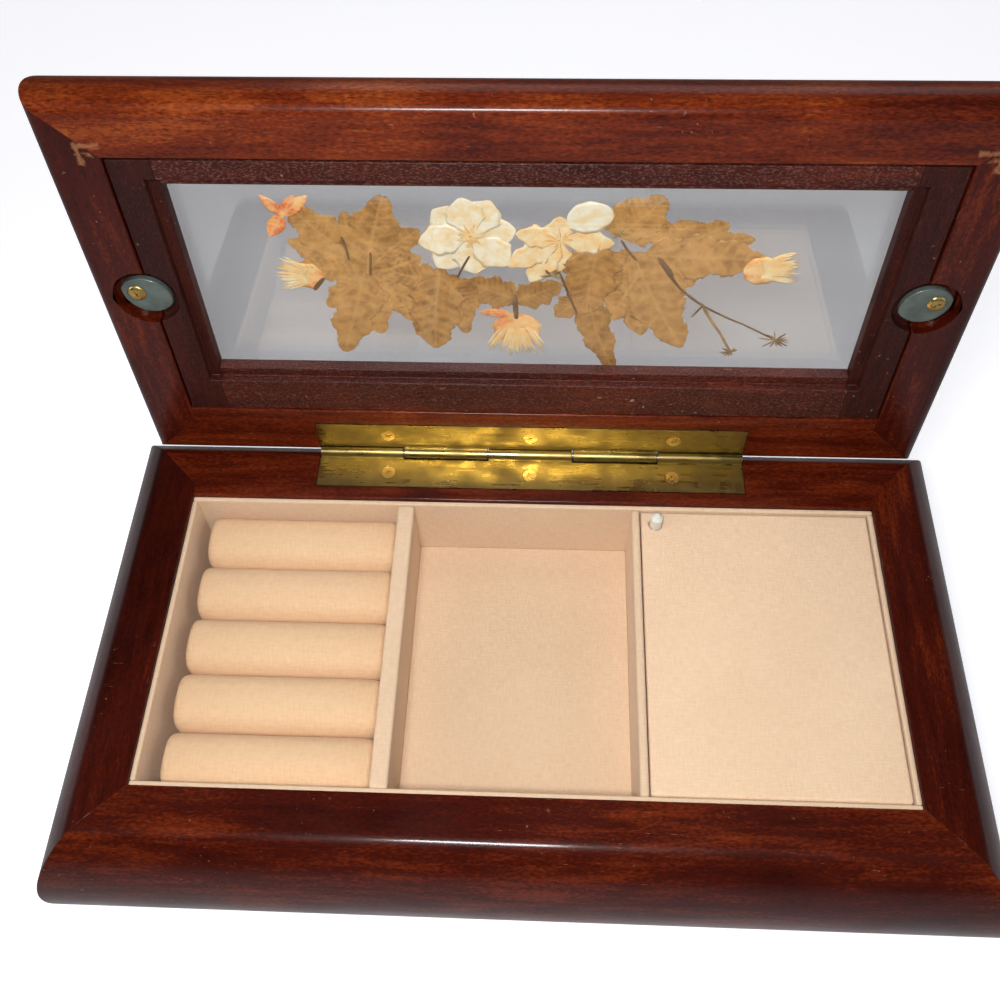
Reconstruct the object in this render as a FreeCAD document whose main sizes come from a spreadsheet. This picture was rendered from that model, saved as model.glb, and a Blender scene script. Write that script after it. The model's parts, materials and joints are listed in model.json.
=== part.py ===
import FreeCAD, Part
import math
import os
import Sketcher
from types import SimpleNamespace
from FreeCAD import Placement, Rotation, Vector

# Musical jewelry box with a glazed lid. Millimetres, +X right, +Y back, +Z up.
# The origin is the centre of the footprint, on the plane that the felt feet stand on.

DIMENSIONS = {
    # Case outline at the seam between base and lid, and the two mouldings
    "case_width": 190.6,
    "case_depth": 98.7,
    "base_height": 40.0,
    "base_swell": 10.0,
    "rail_flat": 10.4,
    "hinge_rail_flat": 13.6,
    "arris_round": 1.6,
    "seam_gap": 0.3,
    "foot_height": 1.0,
    "foot_width": 9.0,
    # Bottom panel in its groove
    "bottom_recess": 11.0,
    "bottom_thickness": 3.0,
    "groove_depth": 3.0,
    "panel_clearance": 0.1,
    # Lined interior
    "lining_thickness": 1.2,
    "lining_drop": 0.8,
    "compartment_depth": 21.0,
    "tray_floor_thickness": 2.0,
    "roll_bay": 50.9,
    "tray_bay": 54.3,
    "left_divider_thickness": 4.1,
    "right_divider_thickness": 2.0,
    "divider_drop": 1.0,
    "cover_thickness": 3.0,
    "cover_drop": 1.2,
    "cover_clearance": 0.3,
    "post_width": 6.0,
    # Ring rolls
    "roll_drop": 4.5,
    "roll_gap": 0.3,
    "roll_end_gap": 3.0,
    "roll_waist": 0.8,
    "roll_end_bevel": 0.8,
    # Piano hinge
    "hinge_length": 108.0,
    "leaf_width": 10.4,
    "leaf_thickness": 0.9,
    "knuckle_diameter": 3.4,
    "knuckle_clearance": 0.3,
    "hinge_pin_diameter": 1.8,
    "running_clearance": 0.05,
    "axis_setout": 0.6,
    "open_angle": 94.0,
    "hinge_screw_head": 3.6,
    "hinge_screw_shank": 1.8,
    "hinge_screw_length": 7.0,
    # Lid moulding, glass and loose insert frame
    "lid_height": 14.5,
    "lid_swell": 1.8,
    "lid_rail_flat": 11.0,
    "lid_hinge_flat": 14.8,
    "lip_seat": 9.6,
    "lip_width": 7.5,
    "sight_height": 11.6,
    "glass_thickness": 1.9,
    "glass_clearance": 0.4,
    "flower_gap": 0.5,
    "flower_thickness": 0.2,
    "insert_width": 9.0,
    "insert_front_width": 7.0,
    "insert_rear_width": 12.0,
    "insert_drop": 0.2,
    "insert_gap": 0.5,
    "insert_step_width": 2.4,
    "insert_step_depth": 2.0,
    # Tabs in their round recesses
    "recess_diameter": 14.4,
    "recess_depth": 2.6,
    "recess_setback": 9.9,
    "tab_length": 11.6,
    "tab_width": 9.4,
    "tab_thickness": 1.6,
    "tab_play": 0.05,
    "tab_tilt": 22.0,
    "tab_screw_offset": 2.2,
    "tab_screw_head": 4.0,
    "tab_screw_head_height": 0.6,
    "tab_screw_shank": 2.2,
    "tab_screw_length": 7.5,
    # Musical movement
    "bedplate_depth": 40.0,
    "bedplate_thickness": 2.0,
    "bedplate_margin": 0.8,
    "movement_inset_x": 2.9,
    "movement_inset_y": 15.8,
    "bed_screw_inset": 4.0,
    "bed_screw_shank": 3.0,
    "bed_screw_head": 6.0,
    "bed_screw_head_height": 1.6,
    "rear_screw_place": 20.0,
    "shaft_height": 12.5,
    "cylinder_diameter": 11.0,
    "cylinder_length": 20.0,
    "cylinder_start": 9.0,
    "cylinder_setback": 31.6,
    "cylinder_shaft": 2.0,
    "shaft_overhang": 0.5,
    "music_pin": 0.4,
    "music_pin_width": 0.3,
    "comb_setback": 4.0,
    "comb_clearance": 0.3,
    "comb_thickness": 1.0,
    "comb_root": 8.5,
    "comb_margin": 0.6,
    "comb_slot": 0.35,
    "comb_screw_shank": 2.0,
    "comb_screw_head": 4.0,
    "comb_screw_head_height": 1.0,
    "comb_screw_length": 5.0,
    "lug_thickness": 1.4,
    "lug_width": 6.0,
    "lug_clearance": 0.5,
    "gear_radius": 6.8,
    "gear_width": 1.0,
    "tooth_addendum": 0.35,
    "tooth_dedendum": 0.65,
    "tooth_root_width": 0.55,
    "tooth_tip_width": 0.25,
    "tooth_bite": 0.3,
    "pinion_radius": 3.0,
    "pinion_width": 2.0,
    "pinion_tooth_height": 0.8,
    "pinion_root_width": 0.8,
    "pinion_tip_width": 0.5,
    "barrel_diameter": 17.6,
    "barrel_wall": 0.8,
    "barrel_clearance": 0.3,
    "crown_thickness": 0.8,
    "crown_tooth_height": 0.6,
    "crown_tooth_length": 2.8,
    "crown_tooth_width": 0.6,
    "crown_edge": 0.2,
    "crown_mesh": 0.4,
    "arbor_diameter": 3.0,
    "arbor_hole_clearance": 1.0,
    "arbor_overhang": 0.5,
    "spring_strip": 0.3,
    "spring_clearance": 0.3,
    "key_width": 20.0,
    "key_height": 8.0,
    "key_thickness": 1.6,
    "key_hub_diameter": 6.0,
    "key_hub_height": 4.5,
    "key_hole_diameter": 3.6,
    "key_panel_gap": 0.3,
    # Governor, plunger and lever
    "governor_height": 9.5,
    "governor_shaft": 1.4,
    "frame_left": 1.6,
    "frame_width": 5.8,
    "frame_plate": 1.2,
    "cheek_thickness": 0.9,
    "cheek_width": 4.0,
    "frame_post": 1.5,
    "frame_arm_width": 3.0,
    "frame_reach": 6.0,
    "worm_wheel_radius": 4.2,
    "worm_wheel_place": 4.2,
    "worm_wheel_width": 1.6,
    "worm_tooth_height": 0.6,
    "worm_tooth_width": 1.0,
    "worm_radius": 1.6,
    "worm_pitch": 1.2,
    "worm_clearance": 0.12,
    "fly_shaft": 1.2,
    "fan_radius": 4.3,
    "fan_height": 15.0,
    "fan_thickness": 0.6,
    "blade_height": 2.6,
    "blade_thickness": 0.6,
    "plunger_diameter": 3.0,
    "plunger_foot": 1.2,
    "plunger_place": 1.0,
    "plunger_inset": 3.5,
    "plunger_travel": 2.0,
    "lever_thickness": 0.6,
    "lever_width": 1.6,
    "lever_clearance": 0.3,
    "lever_drop": 3.2,
    "lever_rise": 1.3,
    "lever_pad": 4.0,
    "lever_tip": 2.4,
    "lever_pivot": 1.6,
    "lever_boss": 2.4,
    "lever_pivot_setback": 37.5,
}

# Counts of repeated features
ROLLS = 5
KNUCKLES = 5
HINGE_SCREWS = 3
COMB_TEETH = 18
PINION_TEETH = 10
CROWN_TEETH = 24
GOVERNED_TEETH = 36
WORM_WHEEL_TEETH = 12
MUSIC_PINS = 12
TRACK_STEP = 5
WORM_RIDGES = 2
SPRING_TURNS = 5
COIL_SIDES = 12
HEX_SIDES = 6
# How close an edge must be to count as lying on a line, in millimetres
NEAR = 0.01

document = FreeCAD.newDocument("musical_jewelry_box")
sheet = document.addObject("Spreadsheet::Sheet", "sizes")
for row, (alias, number) in enumerate(DIMENSIONS.items(), start=1):
    sheet.set(f"A{row}", alias)
    sheet.set(f"B{row}", str(number))
    sheet.setAlias(f"B{row}", alias)
document.recompute()


class Size:
    """A length with its value and the sheet formula that gives it."""

    def __init__(self, value, formula):
        self.value = value
        self.formula = formula

    def __add__(self, other):
        other = as_size(other)
        return Size(self.value + other.value, f"({self.formula} + {other.formula})")

    def __sub__(self, other):
        other = as_size(other)
        return Size(self.value - other.value, f"({self.formula} - {other.formula})")

    def __mul__(self, other):
        other = as_size(other)
        return Size(self.value * other.value, f"({self.formula} * {other.formula})")

    def __truediv__(self, other):
        other = as_size(other)
        return Size(self.value / other.value, f"({self.formula} / {other.formula})")

    def __radd__(self, other):
        return as_size(other) + self

    def __rsub__(self, other):
        return as_size(other) - self

    def __rmul__(self, other):
        return as_size(other) * self

    def __neg__(self):
        return Size(-self.value, f"(-{self.formula})")


def as_size(number):
    if isinstance(number, Size):
        return number
    return Size(float(number), f"({float(number)})")


def root(size):
    return Size(math.sqrt(size.value), f"sqrt({size.formula})")


d = SimpleNamespace(**{
    alias: Size(number, f"sizes.{alias}") for alias, number in DIMENSIONS.items()
})


# Sketches


class Arc:
    """A round stretch between two corners of an outline, swelling to one side of its chord."""

    def __init__(self, radius, left):
        self.radius = as_size(radius)
        self.left = left

    def between(self, start, end):
        chord = end - start
        rise = math.sqrt(self.radius.value ** 2 - (chord.Length / 2) ** 2)
        across = Vector(-chord.y, chord.x, 0).normalize()
        centre = (start + end) / 2 + across * (-rise if self.left else rise)
        first, last = (end, start) if self.left else (start, end)
        angles = [math.atan2(p.y - centre.y, p.x - centre.x) for p in (first, last)]
        if angles[1] < angles[0]:
            angles[1] += 2 * math.pi
        circle_line = Part.Circle(centre, Vector(0, 0, 1), self.radius.value)
        return Part.ArcOfCircle(circle_line, angles[0], angles[1])


def origin_part(body, role):
    return next(part for part in body.Origin.OriginFeatures if part.Role == role)


def new_body(name):
    body = document.addObject("PartDesign::Body", name)
    body.Label = name
    return body


def sketch(body, plane, offset=0):
    drawing = body.newObject("Sketcher::SketchObject", body.Name + "_sketch")
    drawing.AttachmentSupport = [(origin_part(body, plane), "")]
    drawing.MapMode = "FlatFace"
    drawing.setExpression("AttachmentOffset.Base.z", as_size(offset).formula)
    return drawing


def dimension(drawing, kind, places, size):
    index = drawing.addConstraint(Sketcher.Constraint(kind, *places, size.value))
    drawing.setExpression(f"Constraints[{index}]", size.formula)


def outline(drawing, path):
    """Draw a closed outline; an Arc between two corners makes that stretch round."""
    corners = []
    rounds = {}
    for step in path:
        if isinstance(step, Arc):
            rounds[len(corners) - 1] = step
        else:
            corners.append((as_size(step[0]), as_size(step[1])))
    points = [Vector(x.value, y.value, 0) for x, y in corners]
    pieces = []
    for i, start in enumerate(points):
        end = points[(i + 1) % len(points)]
        if i in rounds:
            geometry = drawing.addGeometry(rounds[i].between(start, end))
            pieces.append((geometry, 2, 1) if rounds[i].left else (geometry, 1, 2))
        else:
            pieces.append((drawing.addGeometry(Part.LineSegment(start, end)), 1, 2))
    for i, (geometry, first, last) in enumerate(pieces):
        after, after_first, _ = pieces[(i + 1) % len(pieces)]
        drawing.addConstraint(
            Sketcher.Constraint("Coincident", geometry, last, after, after_first))
        dimension(drawing, "DistanceX", (-1, 1, geometry, first), corners[i][0])
        dimension(drawing, "DistanceY", (-1, 1, geometry, first), corners[i][1])
        if i in rounds:
            dimension(drawing, "Radius", (geometry,), rounds[i].radius)


def rectangle(drawing, left, front, right, back):
    outline(drawing, [(left, front), (right, front), (right, back), (left, back)])


def hexagon(drawing, x, y, radius):
    steps = [2 * math.pi * side / HEX_SIDES for side in range(HEX_SIDES)]
    outline(drawing, [(x + radius * math.cos(a), y + radius * math.sin(a)) for a in steps])


def circle(drawing, x, y, radius):
    x, y, radius = as_size(x), as_size(y), as_size(radius)
    centre = Vector(x.value, y.value, 0)
    ring = drawing.addGeometry(Part.Circle(centre, Vector(0, 0, 1), radius.value))
    dimension(drawing, "DistanceX", (-1, 1, ring, 3), x)
    dimension(drawing, "DistanceY", (-1, 1, ring, 3), y)
    dimension(drawing, "Radius", (ring,), radius)


# Features


def add_feature(body, kind, drawing):
    feature = body.newObject(f"PartDesign::{kind}", f"{body.Name}_{kind.lower()}")
    feature.Profile = drawing
    body.Tip = feature
    return feature


def pad(body, drawing, length, symmetric=False):
    feature = add_feature(body, "Pad", drawing)
    feature.SideType = "Symmetric" if symmetric else "One side"
    feature.setExpression("Length", as_size(length).formula)
    return feature


def pocket(body, drawing, depth=None, upward=False):
    """Cut to a depth, below the sketch or above it, or right through both ways."""
    feature = add_feature(body, "Pocket", drawing)
    if depth is None:
        feature.Type = "ThroughAll"
        feature.SideType = "Symmetric"
    else:
        feature.Reversed = upward
        feature.setExpression("Length", as_size(depth).formula)
    return feature


def turn(body, drawing):
    feature = add_feature(body, "Revolution", drawing)
    feature.ReferenceAxis = (drawing, ["V_Axis"])
    return feature


def row(body, features, axis, count, span):
    pattern = body.newObject("PartDesign::LinearPattern", body.Name + "_row")
    pattern.Originals = features
    pattern.Direction = (origin_part(body, axis), [""])
    pattern.Occurrences = count
    pattern.setExpression("Length", as_size(span).formula)
    body.Tip = pattern


def ring(body, features, count, axis="Z_Axis"):
    pattern = body.newObject("PartDesign::PolarPattern", body.Name + "_ring")
    pattern.Originals = features
    pattern.Axis = (origin_part(body, axis), [""])
    pattern.Angle = 360
    pattern.Occurrences = count
    pattern.Refine = False
    body.Tip = pattern


def soften(body, feature, size, chosen, form="Fillet"):
    """Round or bevel the edges of a feature that a test on their two ends picks out."""
    document.recompute()
    names = [
        f"Edge{number}" for number, edge in enumerate(feature.Shape.Edges, start=1)
        if all(chosen(vertex.Point) for vertex in edge.Vertexes)
    ]
    easing = body.newObject(f"PartDesign::{form}", f"{body.Name}_{form.lower()}")
    easing.Base = (feature, names)
    easing.setExpression("Radius" if form == "Fillet" else "Size", size.formula)
    body.Tip = easing


def move(body, x, y, z):
    body.Placement.Base = Vector(as_size(x).value, as_size(y).value, as_size(z).value)
    for axis, size in zip("xyz", (x, y, z)):
        body.setExpression(f"Placement.Base.{axis}", as_size(size).formula)


def board(name, left, front, low, right, back, high):
    body = new_body(name)
    drawing = sketch(body, "XY_Plane", low)
    rectangle(drawing, left, front, right, back)
    pad(body, drawing, high - low)
    return body


nodes = []


def keep(*bodies):
    nodes.extend(bodies)


# Levels and places that several pieces share

half_width = d.case_width / 2
half_depth = d.case_depth / 2
seam = d.foot_height + d.base_height
panel_low = d.foot_height + d.bottom_recess
panel_top = panel_low + d.bottom_thickness
opening_x = half_width - d.rail_flat
opening_front = -half_depth + d.rail_flat
opening_back = half_depth - d.hinge_rail_flat
lid_opening_x = half_width - d.lid_rail_flat
lid_opening_front = -half_depth + d.lid_rail_flat
lid_opening_back = half_depth - d.lid_hinge_flat
window_middle = (lid_opening_front + lid_opening_back) / 2
bay_x = opening_x - d.lining_thickness
bay_front = opening_front + d.lining_thickness
bay_back = opening_back - d.lining_thickness
floor_top = seam - d.compartment_depth
board_top = floor_top - d.tray_floor_thickness
left_divider_x = -bay_x + d.roll_bay
tray_x = left_divider_x + d.left_divider_thickness
right_divider_x = tray_x + d.tray_bay
movement_x = right_divider_x + d.right_divider_thickness
cover_top = seam - d.cover_drop
cover_low = cover_top - d.cover_thickness
axis_y = half_depth + d.axis_setout
axis_z = seam + d.seam_gap / 2
lid_low = seam + d.seam_gap

HINGE_AXIS = Vector(0, axis_y.value, axis_z.value)
LID_OPEN = Placement(Vector(), Rotation(Vector(1, 0, 0), -d.open_angle.value), HINGE_AXIS)


def open_lid(body):
    """Swing a piece drawn on the closed lid to where the open lid carries it."""
    body.Placement = LID_OPEN.multiply(body.Placement)
    return body


def face_side(body, degrees):
    """Turn a rail drawn at the front to the side of the case that it belongs to."""
    body.Placement = Placement(Vector(), Rotation(Vector(0, 0, 1), degrees))
    return body


# Mitred rails, drawn as front rails with the outside towards -Y

WASTE = d.base_swell + 5


def cut_ends(body, half_length, face, left_end, right_end):
    """Mitre both ends; each end lists its depth from the face and its setback there."""
    drawing = sketch(body, "XY_Plane")
    for side, cut in ((-1, left_end), (1, right_end)):
        path = [(side * (half_length - setback), depth - face) for depth, setback in cut]
        past_end = side * (half_length + 2 * WASTE)
        path.append((past_end, cut[-1][0] - face))
        path.append((past_end, cut[0][0] - face))
        outline(drawing, path)
    pocket(body, drawing)


def base_rail(name, face, half_length, flat, left_end, right_end):
    body = new_body(name)
    drawing = sketch(body, "YZ_Plane")
    inner = flat - face
    groove = inner - d.groove_depth
    chord = d.base_height
    swell_radius = (chord * chord / 4 + d.base_swell * d.base_swell) / (2 * d.base_swell)
    outline(drawing, [
        (inner, d.foot_height),
        (-face, d.foot_height),
        Arc(swell_radius, left=True),
        (-face, seam),
        (inner, seam),
        (inner, panel_top),
        (groove, panel_top),
        (groove, panel_low),
        (inner, panel_low),
    ])
    stick = pad(body, drawing, 2 * (half_length + WASTE), symmetric=True)
    soften(body, stick, d.arris_round, lambda p: abs(p.y + face.value) < NEAR)
    cut_ends(body, half_length, face, left_end, right_end)
    return body


def lid_rail(name, face, half_length, flat, left_end, right_end):
    body = new_body(name)
    drawing = sketch(body, "YZ_Plane")
    inner = flat - face
    sight = inner + d.lip_width
    # The shoulder is one arc through the arris that meets the flat top squarely.
    shoulder = d.lid_swell + d.lid_height - root(2 * d.lid_swell * d.lid_height)
    top_edge = shoulder - d.lid_swell - face
    lid_top = lid_low + d.lid_height
    outline(drawing, [
        (inner, lid_low),
        (-face, lid_low),
        Arc(shoulder, left=True),
        (top_edge, lid_top),
        (sight, lid_low + d.sight_height),
        (sight, lid_low + d.lip_seat),
        (inner, lid_low + d.lip_seat),
    ])
    stick = pad(body, drawing, 2 * (half_length + WASTE), symmetric=True)
    soften(body, stick, d.arris_round / 2, lambda p: (
        abs(p.y + face.value) < NEAR and abs(p.z - lid_low.value) < NEAR))
    cut_ends(body, half_length, face, left_end, right_end)
    return body


def hinge_bed(body, level, upward):
    """Let a hinge leaf and the round knuckles into a rear rail."""
    reach = d.hinge_length / 2 + d.panel_clearance
    mortise = sketch(body, "XY_Plane", level)
    rectangle(mortise, -reach, -half_depth - d.base_swell,
              reach, -axis_y + d.leaf_width + d.panel_clearance)
    pocket(body, mortise, d.leaf_thickness, upward)
    relief = sketch(body, "YZ_Plane")
    circle(relief, -axis_y, axis_z, d.knuckle_diameter / 2 + d.knuckle_clearance)
    relief_cut = pocket(body, relief, 2 * reach)
    relief_cut.SideType = "Symmetric"


def rail_loop(flat, rear_flat):
    """Four rails of a frame: turn, face, half length, width and the cut at each end."""
    plain = [(-WASTE, -WASTE), (rear_flat + WASTE, rear_flat + WASTE)]
    rear = [
        (-WASTE, -WASTE),
        (flat, flat),
        (rear_flat, flat),
        (rear_flat + WASTE, flat + WASTE),
    ]
    side_to_rear = [
        (-WASTE, -WASTE),
        (flat, flat),
        (flat, rear_flat),
        (flat + WASTE, rear_flat + WASTE),
    ]
    return {
        "front": (0, half_depth, half_width, flat, plain, plain),
        "right": (90, half_width, half_depth, flat, plain, side_to_rear),
        "rear": (180, half_depth, half_width, rear_flat, rear, rear),
        "left": (-90, half_width, half_depth, flat, side_to_rear, plain),
    }


for side, (degrees, *shape) in rail_loop(d.rail_flat, d.hinge_rail_flat).items():
    rail = base_rail(f"base_{side}_rail", *shape)
    if side == "rear":
        hinge_bed(rail, seam, upward=False)
    keep(face_side(rail, degrees))


# Bottom panel, held in the grooves, and the felt feet

reach_x = opening_x + d.groove_depth - d.panel_clearance
bed_x = movement_x + d.movement_inset_x
bed_y = bay_front + d.movement_inset_y
bed_z = panel_top
barrel_radius = d.barrel_diameter / 2
cylinder_end = d.cylinder_start + d.cylinder_length
right_lug = cylinder_end + d.lug_clearance
pinion_start = right_lug + d.lug_thickness + 2 * d.lug_clearance
mesh_radius = barrel_radius - d.crown_edge - d.crown_tooth_length / 2
barrel_place = pinion_start + d.pinion_width / 2 + mesh_radius
bedplate_length = barrel_place + barrel_radius + d.bedplate_margin
key_x = bed_x + barrel_place
key_y = bed_y + d.cylinder_setback
bed_screws = [
    (bed_x + d.bed_screw_inset, bed_y + d.bed_screw_inset),
    (bed_x + bedplate_length - d.bed_screw_inset, bed_y + d.bed_screw_inset),
    (bed_x + d.rear_screw_place, bed_y + d.bedplate_depth - d.bed_screw_inset),
]

bottom = new_body("bottom_panel")
plan = sketch(bottom, "XY_Plane", panel_low + d.panel_clearance / 2)
rectangle(plan, -reach_x, opening_front - d.groove_depth + d.panel_clearance,
          reach_x, opening_back + d.groove_depth - d.panel_clearance)
circle(plan, key_x, key_y, d.arbor_diameter / 2 + d.arbor_hole_clearance)
for screw_x, screw_y in bed_screws:
    circle(plan, screw_x, screw_y, d.bed_screw_shank / 2 + d.panel_clearance)
pad(bottom, plan, d.bottom_thickness - d.panel_clearance / 2)
keep(bottom)

feet = new_body("felt_feet")
plan = sketch(feet, "XY_Plane")
foot_x = half_width - d.rail_flat / 2
foot_y = half_depth - d.rail_flat / 2
foot_half = d.foot_width / 2
for middle_x in (-foot_x, foot_x):
    for middle_y in (-foot_y, foot_y):
        rectangle(plan, middle_x - foot_half, middle_y - foot_half,
                  middle_x + foot_half, middle_y + foot_half)
pad(feet, plan, d.foot_height)
keep(feet)


# Lined compartments

lining_top = seam - d.lining_drop
divider_top = seam - d.divider_drop
keep(
    board("front_lining", -opening_x, opening_front, panel_top, opening_x, bay_front, lining_top),
    board("rear_lining", -opening_x, bay_back, panel_top, opening_x, opening_back, lining_top),
    board("left_lining", -opening_x, bay_front, panel_top, -bay_x, bay_back, lining_top),
    board("right_lining", bay_x, bay_front, panel_top, opening_x, bay_back, lining_top),
    board("floor_board", -bay_x, bay_front, panel_top, right_divider_x, bay_back, board_top),
    board("tray_floor", tray_x, bay_front, board_top, right_divider_x, bay_back, floor_top),
    board("left_divider", left_divider_x, bay_front, board_top, tray_x, bay_back, divider_top),
    board("right_divider", right_divider_x, bay_front, panel_top, movement_x, bay_back,
          divider_top),
)

plunger_x = bed_x + d.plunger_place
plunger_y = bay_back - d.cover_clearance - d.plunger_inset
cover_left = movement_x + d.cover_clearance
cover_right = bay_x - d.cover_clearance
cover_front = bay_front + d.cover_clearance
cover_back = bay_back - d.cover_clearance

cover = new_body("movement_cover")
plan = sketch(cover, "XY_Plane", cover_low)
rectangle(plan, cover_left, cover_front, cover_right, cover_back)
circle(plan, plunger_x, plunger_y, d.plunger_diameter / 2 + d.running_clearance)
pad(cover, plan, d.cover_thickness)
keep(cover)

posts = new_body("cover_posts")
plan = sketch(posts, "XY_Plane", panel_top)
post_right = bay_x - d.post_width
post_back = bay_back - d.post_width
# The rear left post stands to the right of the plunger and its lever.
post_beside_plunger = plunger_x + d.lever_pad
for post_x, post_y in (
    (movement_x, bay_front),
    (post_right, bay_front),
    (post_beside_plunger, post_back),
    (post_right, post_back),
):
    rectangle(plan, post_x, post_y, post_x + d.post_width, post_y + d.post_width)
pad(posts, plan, cover_low - panel_top)
keep(posts)


# Ring rolls: fabric over foam, a round crown, sides drawn in towards the floor

roll_pitch = (bay_back - bay_front) / ROLLS
roll_width = roll_pitch - d.roll_gap
crown = seam - d.roll_drop


roll_start = -bay_x + d.roll_end_gap
roll_end = left_divider_x - d.roll_gap
roll_half = roll_width / 2
roll_foot = roll_half - d.roll_waist
roll_spring = crown - roll_half

for number in range(ROLLS):
    roll = new_body(f"ring_roll_{number + 1}")
    middle = bay_front + roll_pitch * (number + 0.5)
    section = sketch(roll, "YZ_Plane", roll_start)
    outline(section, [
        (middle + roll_foot, board_top),
        (middle - roll_foot, board_top),
        (middle - roll_half, roll_spring),
        Arc(roll_half, left=True),
        (middle, crown),
        Arc(roll_half, left=True),
        (middle + roll_half, roll_spring),
    ])
    pad(roll, section, roll_end - roll_start)
    for end in (roll_start, roll_end):
        soften(roll, roll.Tip, d.roll_end_bevel, lambda p: abs(p.x - end.value) < NEAR,
               form="Chamfer")
    keep(roll)


# Piano hinge: two leaves with alternating knuckles on one pin

knuckle_pitch = d.hinge_length / KNUCKLES
knuckle_length = knuckle_pitch - d.knuckle_clearance
leaf_back = axis_y - d.knuckle_diameter / 2 - d.knuckle_clearance
leaf_front = axis_y - d.leaf_width
screw_row = d.hinge_length * (HINGE_SCREWS - 1) / HINGE_SCREWS
screw_y = (leaf_front + leaf_back) / 2


def hinge_leaf(name, low, first, count):
    """A leaf on the level low, with its knuckles from the given one on, every second."""
    body = new_body(name)
    plan = sketch(body, "XY_Plane", low)
    rectangle(plan, -d.hinge_length / 2, leaf_front, d.hinge_length / 2, leaf_back)
    pad(body, plan, d.leaf_thickness)
    start = -d.hinge_length / 2 + knuckle_pitch * first + d.knuckle_clearance / 2
    strap = sketch(body, "YZ_Plane", start)
    rectangle(strap, leaf_back - d.leaf_thickness, low, axis_y, low + d.leaf_thickness)
    strap_pad = pad(body, strap, knuckle_length)
    barrel = sketch(body, "YZ_Plane", start)
    circle(barrel, axis_y, axis_z, d.knuckle_diameter / 2)
    barrel_pad = pad(body, barrel, knuckle_length)
    row(body, [strap_pad, barrel_pad], "X_Axis", count, 2 * knuckle_pitch * (count - 1))
    bore = sketch(body, "YZ_Plane")
    circle(bore, axis_y, axis_z, d.hinge_pin_diameter / 2 + d.running_clearance)
    pocket(body, bore)
    holes = sketch(body, "XY_Plane", low)
    circle(holes, -screw_row / 2, screw_y, d.hinge_screw_head / 2 + d.running_clearance)
    hole = pocket(body, holes)
    row(body, [hole], "X_Axis", HINGE_SCREWS, screw_row)
    return body


def headed_screws(name, places, head_radius, head_height, shank_radius, length, downward,
                  head_form, shank_form):
    """Screws whose heads bear on the body's own level, with round or six-sided forms."""
    body = new_body(name)
    for x, y in places:
        head = sketch(body, "XY_Plane", 0 if downward else -head_height)
        head_form(head, x, y, head_radius)
        pad(body, head, head_height)
        shank = sketch(body, "XY_Plane", -length if downward else 0)
        shank_form(shank, x, y, shank_radius)
        pad(body, shank, length)
    return body


def hinge_screws(name, downward):
    places = [(screw_row * (number / (HINGE_SCREWS - 1) - 0.5), screw_y)
              for number in range(HINGE_SCREWS)]
    return headed_screws(name, places, d.hinge_screw_head / 2, d.leaf_thickness,
                         d.hinge_screw_shank / 2, d.hinge_screw_length, downward,
                         head_form=circle, shank_form=hexagon)


keep(hinge_leaf("hinge_base_leaf", seam - d.leaf_thickness, 0, KNUCKLES // 2 + 1))
keep(open_lid(hinge_leaf("hinge_lid_leaf", lid_low, 1, KNUCKLES // 2)))

pin = new_body("hinge_pin")
drawing = sketch(pin, "YZ_Plane")
circle(drawing, axis_y, axis_z, d.hinge_pin_diameter / 2)
pad(pin, drawing, d.hinge_length, symmetric=True)
keep(pin)

base_screws = hinge_screws("hinge_base_screws", downward=True)
move(base_screws, 0, 0, seam - d.leaf_thickness)
lid_screws = hinge_screws("hinge_lid_screws", downward=False)
lid_screws.Placement.Base = Vector(0, 0, lid_low.value + d.leaf_thickness.value)
keep(base_screws, open_lid(lid_screws))


# Musical movement: bedplate, comb and pinned cylinder. Places are counted from the
# front left corner of the bedplate, as u to the right, w to the back and z up.

cylinder_radius = d.cylinder_diameter / 2
comb_tip = d.cylinder_setback - cylinder_radius - d.music_pin - d.comb_clearance
comb_low = d.shaft_height - d.comb_thickness / 2
comb_left = d.cylinder_start + d.comb_margin
comb_right = cylinder_end - d.comb_margin
comb_front = d.comb_setback
gear_start = d.cylinder_start - d.gear_width
left_lug = gear_start - d.lug_clearance - d.lug_thickness
lever_top = d.fan_height - d.lever_drop
lever_low = lever_top - d.lever_thickness
lever_pivot_z = lever_top - d.lever_rise


def on_bedplate(body):
    move(body, bed_x, bed_y, bed_z)
    return body


bedplate = new_body("movement_bedplate")
plan = sketch(bedplate, "XY_Plane")
rectangle(plan, 0, 0, bedplate_length, d.bedplate_depth)
circle(plan, barrel_place, d.cylinder_setback, d.arbor_diameter / 2 + d.running_clearance)
pad(bedplate, plan, d.bedplate_thickness)
boss = sketch(bedplate, "XY_Plane", d.bedplate_thickness)
rectangle(boss, comb_left, comb_front, comb_right, comb_front + d.comb_root)
pad(bedplate, boss, comb_low - d.bedplate_thickness)
lug_half = d.lug_width / 2
for place in (left_lug, right_lug):
    lug = sketch(bedplate, "YZ_Plane", place)
    outline(lug, [
        (d.cylinder_setback - lug_half, d.bedplate_thickness),
        (d.cylinder_setback + lug_half, d.bedplate_thickness),
        (d.cylinder_setback + lug_half, d.shaft_height),
        (d.cylinder_setback + lug_half / 2, d.shaft_height + lug_half),
        (d.cylinder_setback - lug_half / 2, d.shaft_height + lug_half),
        (d.cylinder_setback - lug_half, d.shaft_height),
    ])
    circle(lug, d.cylinder_setback, d.shaft_height, d.cylinder_shaft / 2 + d.running_clearance)
    pad(bedplate, lug, d.lug_thickness)
lever_lug = sketch(bedplate, "YZ_Plane")
rectangle(lever_lug, d.lever_pivot_setback - d.lever_boss, d.bedplate_thickness,
          d.lever_pivot_setback + d.lever_boss, lever_pivot_z + d.lever_boss)
circle(lever_lug, d.lever_pivot_setback, lever_pivot_z, d.lever_pivot / 2 + d.running_clearance)
pad(bedplate, lever_lug, d.lug_thickness)
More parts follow.
